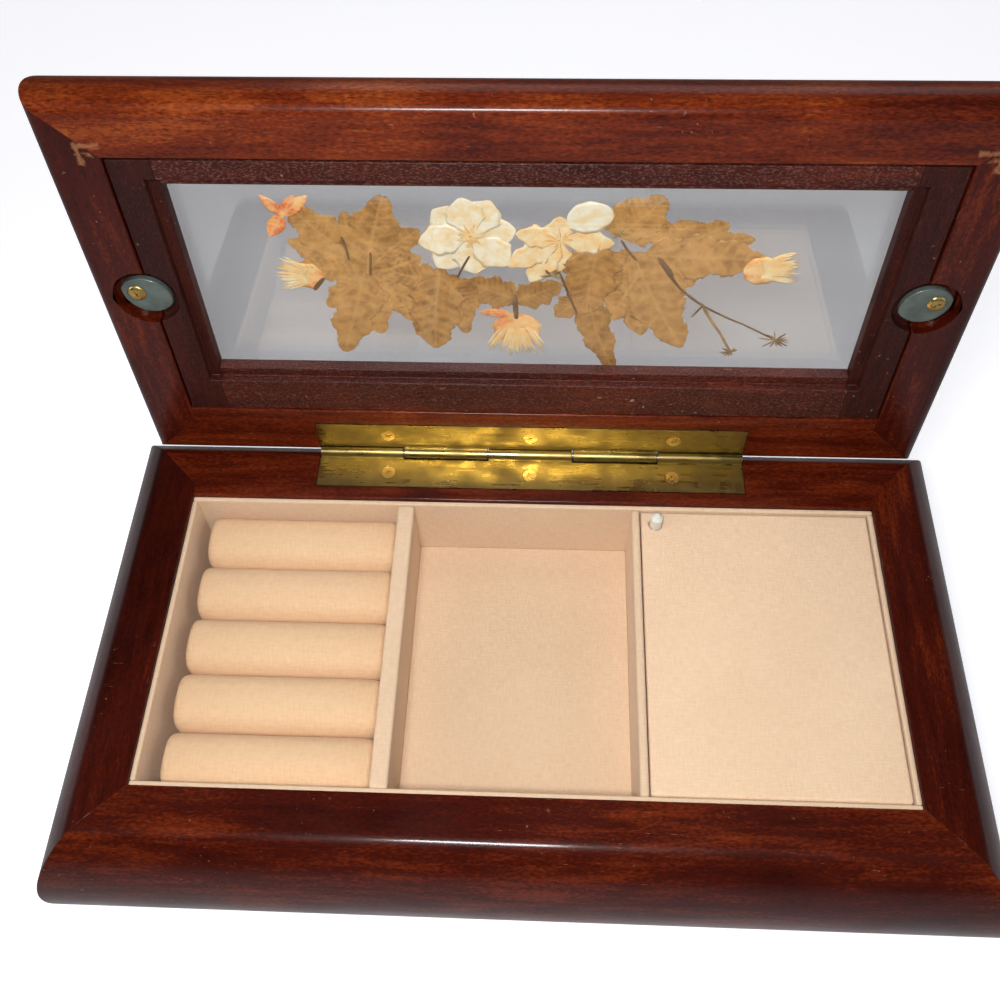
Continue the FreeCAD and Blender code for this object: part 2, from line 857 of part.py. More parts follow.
keep(on_bedplate(bedplate))

comb = new_body("comb")
plan = sketch(comb, "XY_Plane", comb_low)
rectangle(plan, comb_left, comb_front, comb_right, comb_tip)
comb_width = comb_right - comb_left
comb_screw_y = comb_front + d.comb_root / 2
comb_screw_x = [comb_left + comb_width / 4, comb_right - comb_width / 4]
for place in comb_screw_x:
    circle(plan, place, comb_screw_y, d.comb_screw_shank / 2 + d.running_clearance)
pad(comb, plan, d.comb_thickness)
tooth_pitch = comb_width / COMB_TEETH
slots = sketch(comb, "XY_Plane", comb_low)
rectangle(slots, comb_left + tooth_pitch - d.comb_slot / 2, comb_front + d.comb_root,
          comb_left + tooth_pitch + d.comb_slot / 2, comb_tip + d.comb_slot)
slot = pocket(comb, slots)
row(comb, [slot], "X_Axis", COMB_TEETH - 1, comb_width - 2 * tooth_pitch)
keep(on_bedplate(comb))


comb_screws = headed_screws("comb_screws", [(x, comb_screw_y) for x in comb_screw_x],
                            d.comb_screw_head / 2, d.comb_screw_head_height,
                            d.comb_screw_shank / 2, d.comb_screw_length,
                            downward=True, head_form=hexagon, shank_form=hexagon)
move(comb_screws, bed_x, bed_y, bed_z + comb_low + d.comb_thickness)
movement_screws = headed_screws("movement_screws", bed_screws, d.bed_screw_head / 2,
                                d.bed_screw_head_height, d.bed_screw_shank / 2,
                                d.bottom_thickness + d.bedplate_thickness,
                                downward=False, head_form=hexagon, shank_form=hexagon)
move(movement_screws, 0, 0, panel_low)
keep(comb_screws, movement_screws)


def toothed_wheel(body, start, width, root_radius, tip_radius, root_width, tip_width, count,
                  first_angle):
    """A toothed wheel about X: a disc and one tooth, copied round the axis."""
    disc = sketch(body, "YZ_Plane", start)
    circle(disc, 0, 0, root_radius)
    pad(body, disc, width)
    tooth = sketch(body, "YZ_Plane", start)
    tooth_foot = root_radius - d.tooth_bite
    spoke(tooth, tooth_foot, root_width, tip_radius, tip_width, first_angle)
    ring(body, [pad(body, tooth, width)], count, "X_Axis")


def spoke(drawing, inner, inner_width, outer, outer_width, angle):
    """A tapered bar that points away from the sketch's origin at an angle."""
    cos_a, sin_a = math.cos(angle), math.sin(angle)
    corners = (
        (inner, -inner_width / 2),
        (outer, -outer_width / 2),
        (outer, outer_width / 2),
        (inner, inner_width / 2),
    )
    outline(drawing, [
        (out * cos_a - across * sin_a, out * sin_a + across * cos_a) for out, across in corners
    ])


# The gear on the cylinder's left end meshes with the governor's pinion, and the pinion on
# its right end with the crown teeth on the barrel.

governor_pitch_radius = d.gear_radius * PINION_TEETH / GOVERNED_TEETH
centre_distance = d.gear_radius + governor_pitch_radius
height_step = d.shaft_height - d.governor_height
governor_setback = d.cylinder_setback - root(
    centre_distance * centre_distance - height_step * height_step)
mesh_angle = math.atan2(-height_step.value, governor_setback.value - d.cylinder_setback.value)

cylinder = new_body("music_cylinder")
shaft_start = left_lug - d.shaft_overhang
for start, end, radius in (
    (d.cylinder_start, cylinder_end, cylinder_radius),
    (shaft_start, pinion_start + d.pinion_width, d.cylinder_shaft / 2),
):
    drawing = sketch(cylinder, "YZ_Plane", start)
    circle(drawing, 0, 0, radius)
    pad(cylinder, drawing, end - start)
toothed_wheel(cylinder, gear_start, d.gear_width, d.gear_radius - d.tooth_dedendum,
              d.gear_radius + d.tooth_addendum, d.tooth_root_width, d.tooth_tip_width,
              GOVERNED_TEETH, mesh_angle)
toothed_wheel(cylinder, pinion_start, d.pinion_width, d.pinion_radius - d.pinion_tooth_height,
              d.pinion_radius, d.pinion_root_width, d.pinion_tip_width,
              PINION_TEETH, -math.pi / 2)
track = comb_width / COMB_TEETH
for number in range(MUSIC_PINS):
    # Pins step through the tracks and round the cylinder, as a tune's notes do.
    along = comb_left + track * ((number * TRACK_STEP) % COMB_TEETH + 0.5)
    peg = sketch(cylinder, "YZ_Plane", along - d.music_pin_width / 2)
    spoke(peg, cylinder_radius - d.tooth_bite, d.music_pin_width,
          cylinder_radius + d.music_pin, d.music_pin_width,
          2 * math.pi * (number + 0.5) / MUSIC_PINS)
    pad(cylinder, peg, d.music_pin_width).Refine = False
move(cylinder, bed_x, bed_y + d.cylinder_setback, bed_z + d.shaft_height)
keep(cylinder)


# Spring barrel, mainspring, crown gear, winding arbor and key, all on one upright axis

barrel_low = d.bedplate_thickness + d.barrel_clearance
crown_tip = d.shaft_height - d.pinion_radius + d.crown_mesh
crown_top = crown_tip - d.crown_tooth_height
barrel_top = crown_top - d.crown_thickness
arbor_hole = d.arbor_diameter / 2 + d.running_clearance


def on_key_axis(body):
    move(body, key_x, key_y, bed_z)
    return body


barrel = new_body("spring_barrel")
section = sketch(barrel, "XZ_Plane")
cup_radius = barrel_radius - d.barrel_wall
cup_floor = barrel_low + d.barrel_wall
outline(section, [
    (arbor_hole, barrel_low),
    (barrel_radius, barrel_low),
    (barrel_radius, barrel_top),
    (cup_radius, barrel_top),
    (cup_radius, cup_floor),
    (arbor_hole, cup_floor),
])
turn(barrel, section)
keep(on_key_axis(barrel))

crown_gear = new_body("barrel_gear")
plan = sketch(crown_gear, "XY_Plane", barrel_top)
circle(plan, 0, 0, barrel_radius)
circle(plan, 0, 0, arbor_hole)
pad(crown_gear, plan, d.crown_thickness)
tooth = sketch(crown_gear, "XY_Plane", barrel_top)
crown_outer = barrel_radius - d.crown_edge
spoke(tooth, crown_outer - d.crown_tooth_length, d.crown_tooth_width,
      crown_outer, d.crown_tooth_width, math.pi + math.pi / CROWN_TEETH)
ring(crown_gear, [pad(crown_gear, tooth, crown_tip - barrel_top)], CROWN_TEETH)
keep(on_key_axis(crown_gear))

# The mainspring is a flat spiral strip, from near the arbor out to the barrel wall.
inner_coil = arbor_hole.value + 2 * d.spring_clearance.value
outer_coil = cup_radius.value - d.spring_clearance.value - d.spring_strip.value


def spiral(extra):
    """Corners of the coil, a little further out at each step."""
    corners = []
    steps = SPRING_TURNS * COIL_SIDES
    for step in range(steps + 1):
        angle = 2 * math.pi * step / COIL_SIDES
        radius = inner_coil + (outer_coil - inner_coil) * step / steps + extra
        corners.append(Vector(radius * math.cos(angle), radius * math.sin(angle), 0))
    return corners


strip_corners = spiral(0) + spiral(d.spring_strip.value)[::-1]
strip_face = Part.Face(Part.makePolygon(strip_corners + strip_corners[:1]))
strip_low = cup_floor + d.spring_clearance
strip_height = barrel_top - d.spring_clearance - strip_low
mainspring = document.addObject("Part::Feature", "mainspring")
mainspring.Label = "mainspring"
mainspring.Shape = strip_face.extrude(Vector(0, 0, strip_height.value))
mainspring.Placement.Base = Vector(key_x.value, key_y.value, bed_z.value + strip_low.value)
keep(mainspring)

# The key is one plate with two rounded wings and an eye in each, pressed on to the arbor.
hub_high = panel_low - d.key_panel_gap - bed_z
hub_low = hub_high - d.key_hub_height
wing_top = hub_low + d.key_hub_height / 2
arbor = new_body("winding_arbor")
drawing = sketch(arbor, "XY_Plane", wing_top)
circle(drawing, 0, 0, d.arbor_diameter / 2)
pad(arbor, drawing, crown_top + d.arbor_overhang - wing_top)
keep(on_key_axis(arbor))

key = new_body("winding_key")
wings = sketch(key, "XZ_Plane", -d.key_thickness / 2)
wing_round = d.key_height / 2
wing_mid = wing_top - wing_round
wing_x = d.key_width / 2 - wing_round
outline(wings, [
    (-wing_x, wing_mid - wing_round),
    (wing_x, wing_mid - wing_round),
    Arc(wing_round, left=False),
    (wing_x + wing_round, wing_mid),
    Arc(wing_round, left=False),
    (wing_x, wing_mid + wing_round),
    (-wing_x, wing_mid + wing_round),
    Arc(wing_round, left=False),
    (-wing_x - wing_round, wing_mid),
    Arc(wing_round, left=False),
])
for side in (-1, 1):
    circle(wings, side * wing_x, wing_mid, d.key_hole_diameter / 2)
pad(key, wings, d.key_thickness)
hub = sketch(key, "XY_Plane", hub_low)
circle(hub, 0, 0, d.key_hub_diameter / 2)
pad(key, hub, d.key_hub_height)
bore = sketch(key, "XY_Plane", wing_top)
circle(bore, 0, 0, arbor_hole)
pocket(key, bore, hub_high - wing_top, upward=True)
keep(on_key_axis(key))


# Governor: a worm-driven fly in a small frame slows the cylinder

frame_right = d.frame_left + d.frame_width
wheel_shaft = d.governor_shaft / 2
fly_shaft = d.fly_shaft / 2
worm_setback = governor_setback - d.worm_wheel_radius - d.worm_radius - d.worm_clearance
worm_u = d.worm_wheel_place + d.worm_wheel_width / 2
frame_low = d.bedplate_thickness
frame_top = frame_low + d.frame_plate
frame_front = worm_setback - d.frame_reach
arm_top = d.fan_height - d.frame_plate
arm_half = d.frame_arm_width / 2
cheek_half = d.cheek_width / 2

frame = new_body("governor_frame")
plan = sketch(frame, "XY_Plane", frame_low)
rectangle(plan, d.frame_left, frame_front, frame_right, governor_setback + cheek_half)
circle(plan, worm_u, worm_setback, fly_shaft + d.running_clearance)
pad(frame, plan, d.frame_plate)
for place in (d.frame_left, frame_right - d.cheek_thickness):
    cheek = sketch(frame, "YZ_Plane", place)
    rectangle(cheek, governor_setback - cheek_half, frame_top,
              governor_setback + cheek_half, d.governor_height + cheek_half)
    circle(cheek, governor_setback, d.governor_height, wheel_shaft + d.running_clearance)
    pad(frame, cheek, d.cheek_thickness)
post = sketch(frame, "XY_Plane", frame_top)
rectangle(post, worm_u - arm_half, frame_front, worm_u + arm_half, frame_front + d.frame_post)
pad(frame, post, arm_top - frame_top)
arm = sketch(frame, "XY_Plane", arm_top - d.frame_plate)
rectangle(arm, worm_u - arm_half, frame_front, worm_u + arm_half, worm_setback + arm_half)
circle(arm, worm_u, worm_setback, fly_shaft + d.running_clearance)
pad(frame, arm, d.frame_plate)
keep(on_bedplate(frame))

wheel = new_body("governor_wheel")
wheel_start = d.frame_left + d.panel_clearance
drawing = sketch(wheel, "YZ_Plane", wheel_start)
circle(drawing, 0, 0, wheel_shaft)
pad(wheel, drawing, d.cylinder_start - wheel_start)
toothed_wheel(wheel, gear_start, d.gear_width, governor_pitch_radius - d.tooth_dedendum,
              governor_pitch_radius + d.tooth_addendum, d.tooth_root_width, d.tooth_tip_width,
              PINION_TEETH, mesh_angle + math.pi + math.pi / PINION_TEETH)
toothed_wheel(wheel, d.worm_wheel_place, d.worm_wheel_width,
              d.worm_wheel_radius - d.worm_tooth_height, d.worm_wheel_radius,
              d.worm_tooth_width, d.worm_tooth_width / 2, WORM_WHEEL_TEETH, 0)
move(wheel, bed_x, bed_y + governor_setback, bed_z + d.governor_height)
keep(wheel)

fly = new_body("governor_fly")
fly_low = frame_low + d.panel_clearance
worm_low = d.governor_height - d.worm_pitch * WORM_RIDGES / 2
fan_top = d.fan_height + d.fan_thickness
discs = [(fly_low, d.fan_height, fly_shaft), (d.fan_height, fan_top, d.fan_radius)]
for ridge in range(WORM_RIDGES):
    ridge_low = worm_low + d.worm_pitch * (ridge + 0.25)
    discs.append((ridge_low, ridge_low + d.worm_pitch / 4, d.worm_radius))
for low, high, radius in discs:
    disc = sketch(fly, "XY_Plane", low)
    circle(disc, 0, 0, radius)
    pad(fly, disc, high - low)
blades = sketch(fly, "XY_Plane", d.fan_height + d.fan_thickness)
blade_half = d.blade_thickness / 2
blade_reach = d.fan_radius - blade_half
rectangle(blades, -blade_reach, -blade_half, blade_reach, blade_half)
pad(fly, blades, d.blade_height)
move(fly, bed_x + worm_u, bed_y + worm_setback, bed_z)
keep(fly)


# Stop plunger and lever: the closing lid presses the plunger, and the lever's front end
# rises under the fly's disc

plunger_top = lid_low + d.insert_drop + d.plunger_travel - d.panel_clearance
plunger_w = plunger_y - bed_y
plunger_low = bed_z + lever_top + d.panel_clearance
plunger_radius = d.plunger_diameter / 2
foot_radius = d.plunger_foot / 2

plunger = new_body("stop_plunger")
section = sketch(plunger, "XZ_Plane")
outline(section, [
    (0, plunger_low),
    (foot_radius, plunger_low),
    (plunger_radius, plunger_low + plunger_radius - foot_radius),
    (plunger_radius, plunger_top - plunger_radius / 2),
    (plunger_radius / 2, plunger_top),
    (0, plunger_top),
])
turn(plunger, section)
move(plunger, plunger_x, plunger_y, 0)
keep(plunger)

lever_right = -d.lever_clearance
lever_left = lever_right - d.lever_width
pad_half = d.lever_pad / 2
tip_half = d.lever_tip / 2
tip_right = worm_u - d.worm_radius - d.lever_clearance * 3
lever = new_body("stop_lever")
plan = sketch(lever, "XY_Plane", lever_low)
outline(plan, [
    (lever_left, worm_setback - tip_half),
    (tip_right, worm_setback - tip_half),
    (tip_right, worm_setback + tip_half),
    (lever_right, worm_setback + tip_half),
    (lever_right, plunger_w - pad_half),
    (d.plunger_place + pad_half, plunger_w - pad_half),
    (d.plunger_place + pad_half, plunger_w + pad_half),
    (lever_left, plunger_w + pad_half),
])
pad(lever, plan, d.lever_thickness)
for radius, length in (
    (d.lever_boss / 2, d.lever_width),
    (d.lever_pivot / 2, d.lug_thickness - lever_left),
):
    drawing = sketch(lever, "YZ_Plane", lever_left)
    circle(drawing, d.lever_pivot_setback, lever_pivot_z, radius)
    pad(lever, drawing, length)
keep(on_bedplate(lever))


# Lid rails, with round recesses for the tabs in the side rails

recess_x = half_width - d.recess_setback

for side, (degrees, *shape) in rail_loop(d.lid_rail_flat, d.lid_hinge_flat).items():
    rail = lid_rail(f"lid_{side}_rail", *shape)
    if side == "rear":
        hinge_bed(rail, lid_low, upward=True)
    if side in ("left", "right"):
        recess = sketch(rail, "XY_Plane", lid_low)
        along = window_middle if side == "right" else -window_middle
        circle(recess, along, -recess_x, d.recess_diameter / 2)
        pocket(rail, recess, d.recess_depth, upward=True)
    keep(open_lid(face_side(rail, degrees)))


# Glass panes and the insert frame that holds them against the lip

glass_x = lid_opening_x - d.glass_clearance
glass_front = lid_opening_front + d.glass_clearance
glass_back = lid_opening_back - d.glass_clearance
outer_glass_low = lid_low + d.lip_seat - d.glass_thickness
inner_glass_low = outer_glass_low - d.flower_gap - d.glass_thickness
for name, low in (("outer_glass", outer_glass_low), ("inner_glass", inner_glass_low)):
    keep(open_lid(board(name, -glass_x, glass_front, low,
                        glass_x, glass_back, low + d.glass_thickness)))

insert_low = lid_low + d.insert_drop
insert_x = lid_opening_x - d.insert_gap
insert_front = lid_opening_front + d.insert_gap
insert_back = lid_opening_back - d.insert_gap
inner_x = insert_x - d.insert_width
inner_front = insert_front + d.insert_front_width
inner_back = insert_back - d.insert_rear_width
step_x = inner_x + d.insert_step_width
step_front = inner_front - d.insert_step_width
step_back = inner_back + d.insert_step_width


def insert_strip(name, left, front, right, back):
    """A strip of the loose frame, stepped down along the edge that borders the glass."""
    strip = board(name, left, front, insert_low, right, back, inner_glass_low)
    step = sketch(strip, "XY_Plane", insert_low)
    rectangle(step, -step_x, step_front, step_x, step_back)
    pocket(strip, step, d.insert_step_depth, upward=True)
    return strip


for side in (-1, 1):
    name = "insert_left_strip" if side < 0 else "insert_right_strip"
    edges = (-insert_x, -inner_x) if side < 0 else (inner_x, insert_x)
    strip = insert_strip(name, edges[0], insert_front, edges[1], insert_back)
    notch = sketch(strip, "XY_Plane", insert_low)
    circle(notch, side * recess_x, window_middle, d.recess_diameter / 2)
    pocket(strip, notch, d.recess_depth - d.insert_drop, upward=True)
    keep(open_lid(strip))
keep(open_lid(insert_strip("insert_front_strip", -inner_x, insert_front, inner_x, inner_front)))
keep(open_lid(insert_strip("insert_rear_strip", -inner_x, inner_back, inner_x, insert_back)))


# Tabs: pointed ovals of two arcs, each on a screw near its outer end

tab_low = lid_low + d.recess_depth - d.tab_play - d.tab_thickness
half_tab = d.tab_length / 2
half_tab_width = d.tab_width / 2
tab_radius = (half_tab * half_tab + half_tab_width * half_tab_width) / (2 * half_tab_width)
screw_reach = d.tab_screw_offset

for side, name in ((-1, "left_tab"), (1, "right_tab")):
    tab = new_body(name)
    plan = sketch(tab, "XY_Plane")
    outline(plan, [
        (-half_tab, 0),
        Arc(tab_radius, left=False),
        (half_tab, 0),
        Arc(tab_radius, left=False),
    ])
    circle(plan, side * screw_reach, 0, d.tab_screw_shank / 2 + d.running_clearance)
    pad(tab, plan, d.tab_thickness)
    tab.Placement = Placement(
        Vector(side * recess_x.value, window_middle.value, tab_low.value),
        Rotation(Vector(0, 0, 1), -side * d.tab_tilt.value))
    keep(open_lid(tab))

tilt = math.radians(d.tab_tilt.value)
screw_places = [
    (side * (recess_x + screw_reach * math.cos(tilt)),
     window_middle - screw_reach * math.sin(tilt)) for side in (-1, 1)
]
tab_screws = headed_screws("tab_screws", screw_places, d.tab_screw_head / 2,
                           d.tab_screw_head_height, d.tab_screw_shank / 2,
                           d.tab_screw_length, downward=False,
                           head_form=circle, shank_form=circle)
tab_screws.Placement.Base = Vector(0, 0, tab_low.value - d.tab_play.value)
keep(open_lid(tab_screws))


# Pressed plants between the panes: lobed leaves, open blossoms and thin stems, each a thin
# sheet laid flat in the gap

flower_low = inner_glass_low + d.glass_thickness + (d.flower_gap - 2 * d.flower_thickness) / 3
blossom_low = outer_glass_low - (d.flower_gap - 2 * d.flower_thickness) / 3 - d.flower_thickness

# Each leaf: centre x and y from the middle of the window, length and direction in degrees
LEAVES = [
    (-45.5, -11.5, 16.5, 232), (-32.5, -12.6, 19.2, 281), (-41, 12.6, 19.4, 109),
    (-21.4, 10.5, 20.4, 101), (-8.8, 1.8, 11.6, 210), (-3.3, 13.6, 15.5, 90),
    (22.9, -18.6, 9.6, 271), (39.5, -6.6, 23.3, 0), (15, 9.4, 27.5, 83),
    (31, 10.5, 19.4, 64), (-55, -19, 8.6, 250), (-27, -1.5, 10.6, 0), (4, 2, 8.6, 340),
]
LOBES = [(0, 0.5), (22, 0.27), (42, 0.46), (68, 0.24), (95, 0.4), (130, 0.2), (160, 0.3)]
BLOSSOMS = [(-13.2, -13, 18, 6), (7, -12, 16, 5), (53.5, -4, 9, 5)]
STEMS = [(40, 6.5, 58.2, 16.5), (37, 9.6, 46.2, 19.1), (-48, 1.6, -56.7, -2.7)]
STEM_WIDTH = 0.9
PETAL_STEPS = 2


def window_place(x, y):
    return Vector(x, window_middle.value + y, 0)


def leaf_sheet(x, y, length, heading):
    """A lobed leaf; the lobes are points on both sides of the midrib."""
    angles = LOBES + [(360 - angle, reach) for angle, reach in reversed(LOBES) if angle]
    points = []
    for angle, reach in angles:
        bearing = math.radians(heading + angle)
        points.append(window_place(x, y) + Vector(math.cos(bearing), math.sin(bearing), 0)
                      * length * reach)
    return Part.Face(Part.makePolygon(points + points[:1]))


def blossom_sheet(x, y, width, petals):
    """An open flower: round petals about a small middle."""
    points = []
    for step in range(petals * PETAL_STEPS * 2):
        bearing = 2 * math.pi * step / (petals * PETAL_STEPS * 2)
        swell = abs(math.cos(bearing * petals / 2))
        points.append(window_place(x, y) + Vector(math.cos(bearing), math.sin(bearing), 0)
                      * width / 2 * (0.55 + 0.45 * swell))
    return Part.Face(Part.makePolygon(points + points[:1]))


def stem_sheet(x0, y0, x1, y1):
    start, end = window_place(x0, y0), window_place(x1, y1)
    along = end - start
    side = Vector(-along.y, along.x, 0).normalize() * STEM_WIDTH / 2
    return Part.Face(Part.makePolygon(
        [start - side, end - side, end + side, start + side, start - side]))


def sheet_group(name, faces, low):
    thickness = Vector(0, 0, d.flower_thickness.value)
    solids = [face.extrude(thickness) for face in faces]
    feature = document.addObject("Part::Feature", name)
    feature.Label = name
    feature.Shape = Part.makeCompound(solids)
    feature.Placement = Placement(Vector(0, 0, low.value), Rotation())
    return open_lid(feature)


keep(
    sheet_group("pressed_leaves", [leaf_sheet(*leaf) for leaf in LEAVES], flower_low),
    sheet_group("pressed_blossoms", [blossom_sheet(*one) for one in BLOSSOMS], blossom_low),
    sheet_group("pressed_stems", [stem_sheet(*stem) for stem in STEMS], blossom_low),
)


# Every feature is checked before anything is written

document.recompute()
for feature in document.Objects:
    if "Invalid" in feature.State or "Error" in feature.State:
        raise RuntimeError(f"{feature.Name} failed: {feature.State}")
for node in nodes:
    if node.Shape.isNull() or not node.Shape.isValid() or not node.Shape.Solids:
        raise RuntimeError(f"{node.Label} has no valid solid")

os.makedirs("parts", exist_ok=True)
for node in nodes:
    node.Shape.exportStep(f"parts/{node.Label}.step")
print(len(nodes), "nodes written")
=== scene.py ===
import json
import math
import random

import bmesh
import bpy
from mathutils import Matrix, Vector

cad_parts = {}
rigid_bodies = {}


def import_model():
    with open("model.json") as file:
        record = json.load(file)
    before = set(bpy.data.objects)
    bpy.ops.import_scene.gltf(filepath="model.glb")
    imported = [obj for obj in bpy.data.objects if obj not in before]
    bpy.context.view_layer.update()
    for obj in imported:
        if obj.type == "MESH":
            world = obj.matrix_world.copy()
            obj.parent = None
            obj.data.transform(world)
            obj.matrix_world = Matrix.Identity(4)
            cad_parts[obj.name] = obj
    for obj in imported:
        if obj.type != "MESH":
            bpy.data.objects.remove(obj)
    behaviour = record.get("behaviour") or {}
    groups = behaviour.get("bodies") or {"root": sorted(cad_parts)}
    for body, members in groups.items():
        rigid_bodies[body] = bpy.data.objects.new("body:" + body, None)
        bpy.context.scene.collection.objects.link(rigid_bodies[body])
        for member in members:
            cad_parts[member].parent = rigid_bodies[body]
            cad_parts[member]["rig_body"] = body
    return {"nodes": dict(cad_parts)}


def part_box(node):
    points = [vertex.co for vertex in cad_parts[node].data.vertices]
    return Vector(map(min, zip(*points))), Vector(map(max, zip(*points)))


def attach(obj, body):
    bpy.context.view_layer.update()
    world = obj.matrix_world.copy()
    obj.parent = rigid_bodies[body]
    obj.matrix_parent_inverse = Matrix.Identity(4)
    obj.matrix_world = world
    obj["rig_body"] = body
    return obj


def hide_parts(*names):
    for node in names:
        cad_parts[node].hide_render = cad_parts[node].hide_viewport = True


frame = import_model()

scene = bpy.context.scene
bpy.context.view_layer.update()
MM = 0.001


# Case rails: four lengths of half-round hardwood moulding, mitred and glued at the corners.
# They are stained mahogany red, with open pores along the grain, under a thick clear lacquer
# that eases every arris.

def shade(tree, kind, inputs=None, **settings):
    """One shader node; inputs are values or other nodes' sockets."""
    node = tree.nodes.new("ShaderNode" + kind)
    for key, value in settings.items():
        setattr(node, key, value)
    for key, value in (inputs or {}).items():
        if isinstance(value, bpy.types.NodeSocket):
            tree.links.new(value, node.inputs[key])
        else:
            node.inputs[key].default_value = value
    return node


def new_group(name, inputs, outputs):
    """An empty shader group with its input sockets and its output node."""
    tree = bpy.data.node_groups.new(name, "ShaderNodeTree")
    for label, kind, value in inputs:
        socket = tree.interface.new_socket(label, in_out="INPUT", socket_type="NodeSocket" + kind)
        if value is not None:
            socket.default_value = value
    for label, kind in outputs:
        tree.interface.new_socket(label, in_out="OUTPUT", socket_type="NodeSocket" + kind)
    return tree, tree.nodes.new("NodeGroupInput").outputs, tree.nodes.new("NodeGroupOutput").inputs


def place_group(tree, group, inputs):
    """The group as one node in a material."""
    return shade(tree, "Group", inputs, node_tree=group).outputs


def new_material(name, **sockets):
    """A material with one surface shader, whose plain values are set on its own sockets."""
    material = bpy.data.materials.new(name)
    material.use_nodes = True
    tree = material.node_tree
    surface = tree.nodes["Principled BSDF"]
    for key, value in sockets.items():
        surface.inputs[key.replace("_", " ")].default_value = value
    return material, tree, surface.inputs


def ramp(tree, factor, stops):
    """Colours along a factor, each stop a place and a colour."""
    node = shade(tree, "ValToRGB", {"Fac": factor})
    points = node.color_ramp.elements
    while len(points) < len(stops):
        points.new(0.5)
    for point, (place, colour) in zip(points, stops):
        point.position = place
        point.color = (*colour, 1.0)
    return node.outputs["Color"]


def span(tree, value, low, high, to_low=0.0, to_high=1.0):
    """A value from one range to another, held at the ends."""
    return shade(tree, "MapRange", {"Value": value, "From Min": low, "From Max": high,
                                    "To Min": to_low, "To Max": to_high}).outputs["Result"]


def math_of(tree, operation, first, second=0.0):
    return shade(tree, "Math", {0: first, 1: second}, operation=operation).outputs[0]


def noise(tree, vector, scale, stretch=(1, 1, 1), detail=2.0, distortion=0.0):
    """Noise over stretched coordinates, as a value near one half."""
    stretched = shade(tree, "VectorMath", {0: vector, 1: stretch}, operation="MULTIPLY")
    return shade(tree, "TexNoise", {"Vector": stretched.outputs[0], "Scale": scale,
                                    "Detail": detail, "Distortion": distortion}).outputs["Fac"]


def bump(tree, height, distance, strength=1.0):
    return shade(tree, "Bump", {"Height": height, "Distance": distance,
                                "Strength": strength}).outputs["Normal"]


def weighted(tree, *terms):
    """The sum of values, each with its own weight."""
    total = None
    for value, weight in terms:
        term = math_of(tree, "MULTIPLY", value, weight)
        total = term if total is None else math_of(tree, "ADD", total, term)
    return total


def mixed(tree, factor, first, second, **settings):
    """A colour part way from the first to the second."""
    return shade(tree, "Mix", {"Factor": factor, "A": first, "B": second}, data_type="RGBA",
                 **settings).outputs["Result"]


def object_place(tree):
    return shade(tree, "TexCoord").outputs["Object"]


def parts_of(tree, vector):
    return shade(tree, "SeparateXYZ", {0: vector}).outputs


def measured(tree, place, axis):
    """How far a place lies along an axis."""
    return shade(tree, "VectorMath", {0: place, 1: axis}, operation="DOT_PRODUCT").outputs["Value"]


def feed(tree, sockets, **values):
    """Link values to sockets by name, with _ for a space."""
    for key, value in values.items():
        tree.links.new(value, sockets[key.replace("_", " ")])


X, Y, Z = Vector((1, 0, 0)), Vector((0, 1, 0)), Vector((0, 0, 1))
# The open lid leans back by four degrees: up its plane, and out through it.
LID_UP = Vector((0, 0.0697565, 0.9975641))
LID_OUT = Vector((0, 0.9975641, -0.0697565))


def mahogany_group():
    """Stained wood: broad figure, fine streaks and dark pores, all drawn out along local X."""
    tree, given, made = new_group(
        "mahogany", [("Grain", "Vector", None), ("Depth", "Float", 0.0)],
        [("Colour", "Color"), ("Roughness", "Float"), ("Height", "Float")])
    grain = given["Grain"]
    figure = noise(tree, grain, 1.0, (16, 60, 60), 4.0, 0.7)
    streak = noise(tree, grain, 1.0, (60, 620, 620), 3.0, 0.3)
    pore = noise(tree, grain, 1.0, (700, 3600, 3600), 2.0)
    mottle = noise(tree, grain, 1.0, (60, 60, 60), 2.0)
    fleck = noise(tree, grain, 1.0, (900, 1900, 1900), 1.0)
    tone = weighted(tree, (figure, 0.50), (streak, 0.28), (fleck, 0.22))
    # The offset darkens or lightens the whole stain for each material: partly the pieces' own tone,
    # partly painted light and shade.
    tone = math_of(tree, "SUBTRACT", tone, given["Depth"])
    stain = ramp(tree, tone, [(0.30, (0.020, 0.0015, 0.0007)), (0.47, (0.058, 0.0055, 0.0016)),
                              (0.60, (0.150, 0.020, 0.0038)), (0.76, (0.33, 0.072, 0.012))])
    pores = span(tree, pore, 0.48, 0.72)
    darkened = mixed(tree, math_of(tree, "MULTIPLY", pores, 0.60), stain,
                     (0.012, 0.0016, 0.001, 1))
    swell = math_of(tree, "MULTIPLY", mottle, 0.6)
    feed(tree, made, Colour=darkened, Roughness=span(tree, mottle, 0.3, 0.7, 0.30, 0.46),
         Height=math_of(tree, "SUBTRACT", swell, pores))
    return tree


def scuff_group():
    """Handling marks: fine dust specks and short pale scratches, as one mask."""
    tree, given, made = new_group("scuffs", [("Place", "Vector", None), ("Amount", "Float", 1.0)],
                                  [("Mask", "Float")])
    speck = span(tree, noise(tree, given["Place"], 900.0, detail=1.0), 0.735, 0.78)
    fine = span(tree, noise(tree, given["Place"], 1.0, (300, 2600, 500), 1.0), 0.76, 0.80)
    patch = span(tree, noise(tree, given["Place"], 45.0), 0.50, 0.62)
    marks = math_of(tree, "MULTIPLY", math_of(tree, "MAXIMUM", speck, fine), patch)
    feed(tree, made, Mask=math_of(tree, "MULTIPLY", marks, given["Amount"]))
    return tree


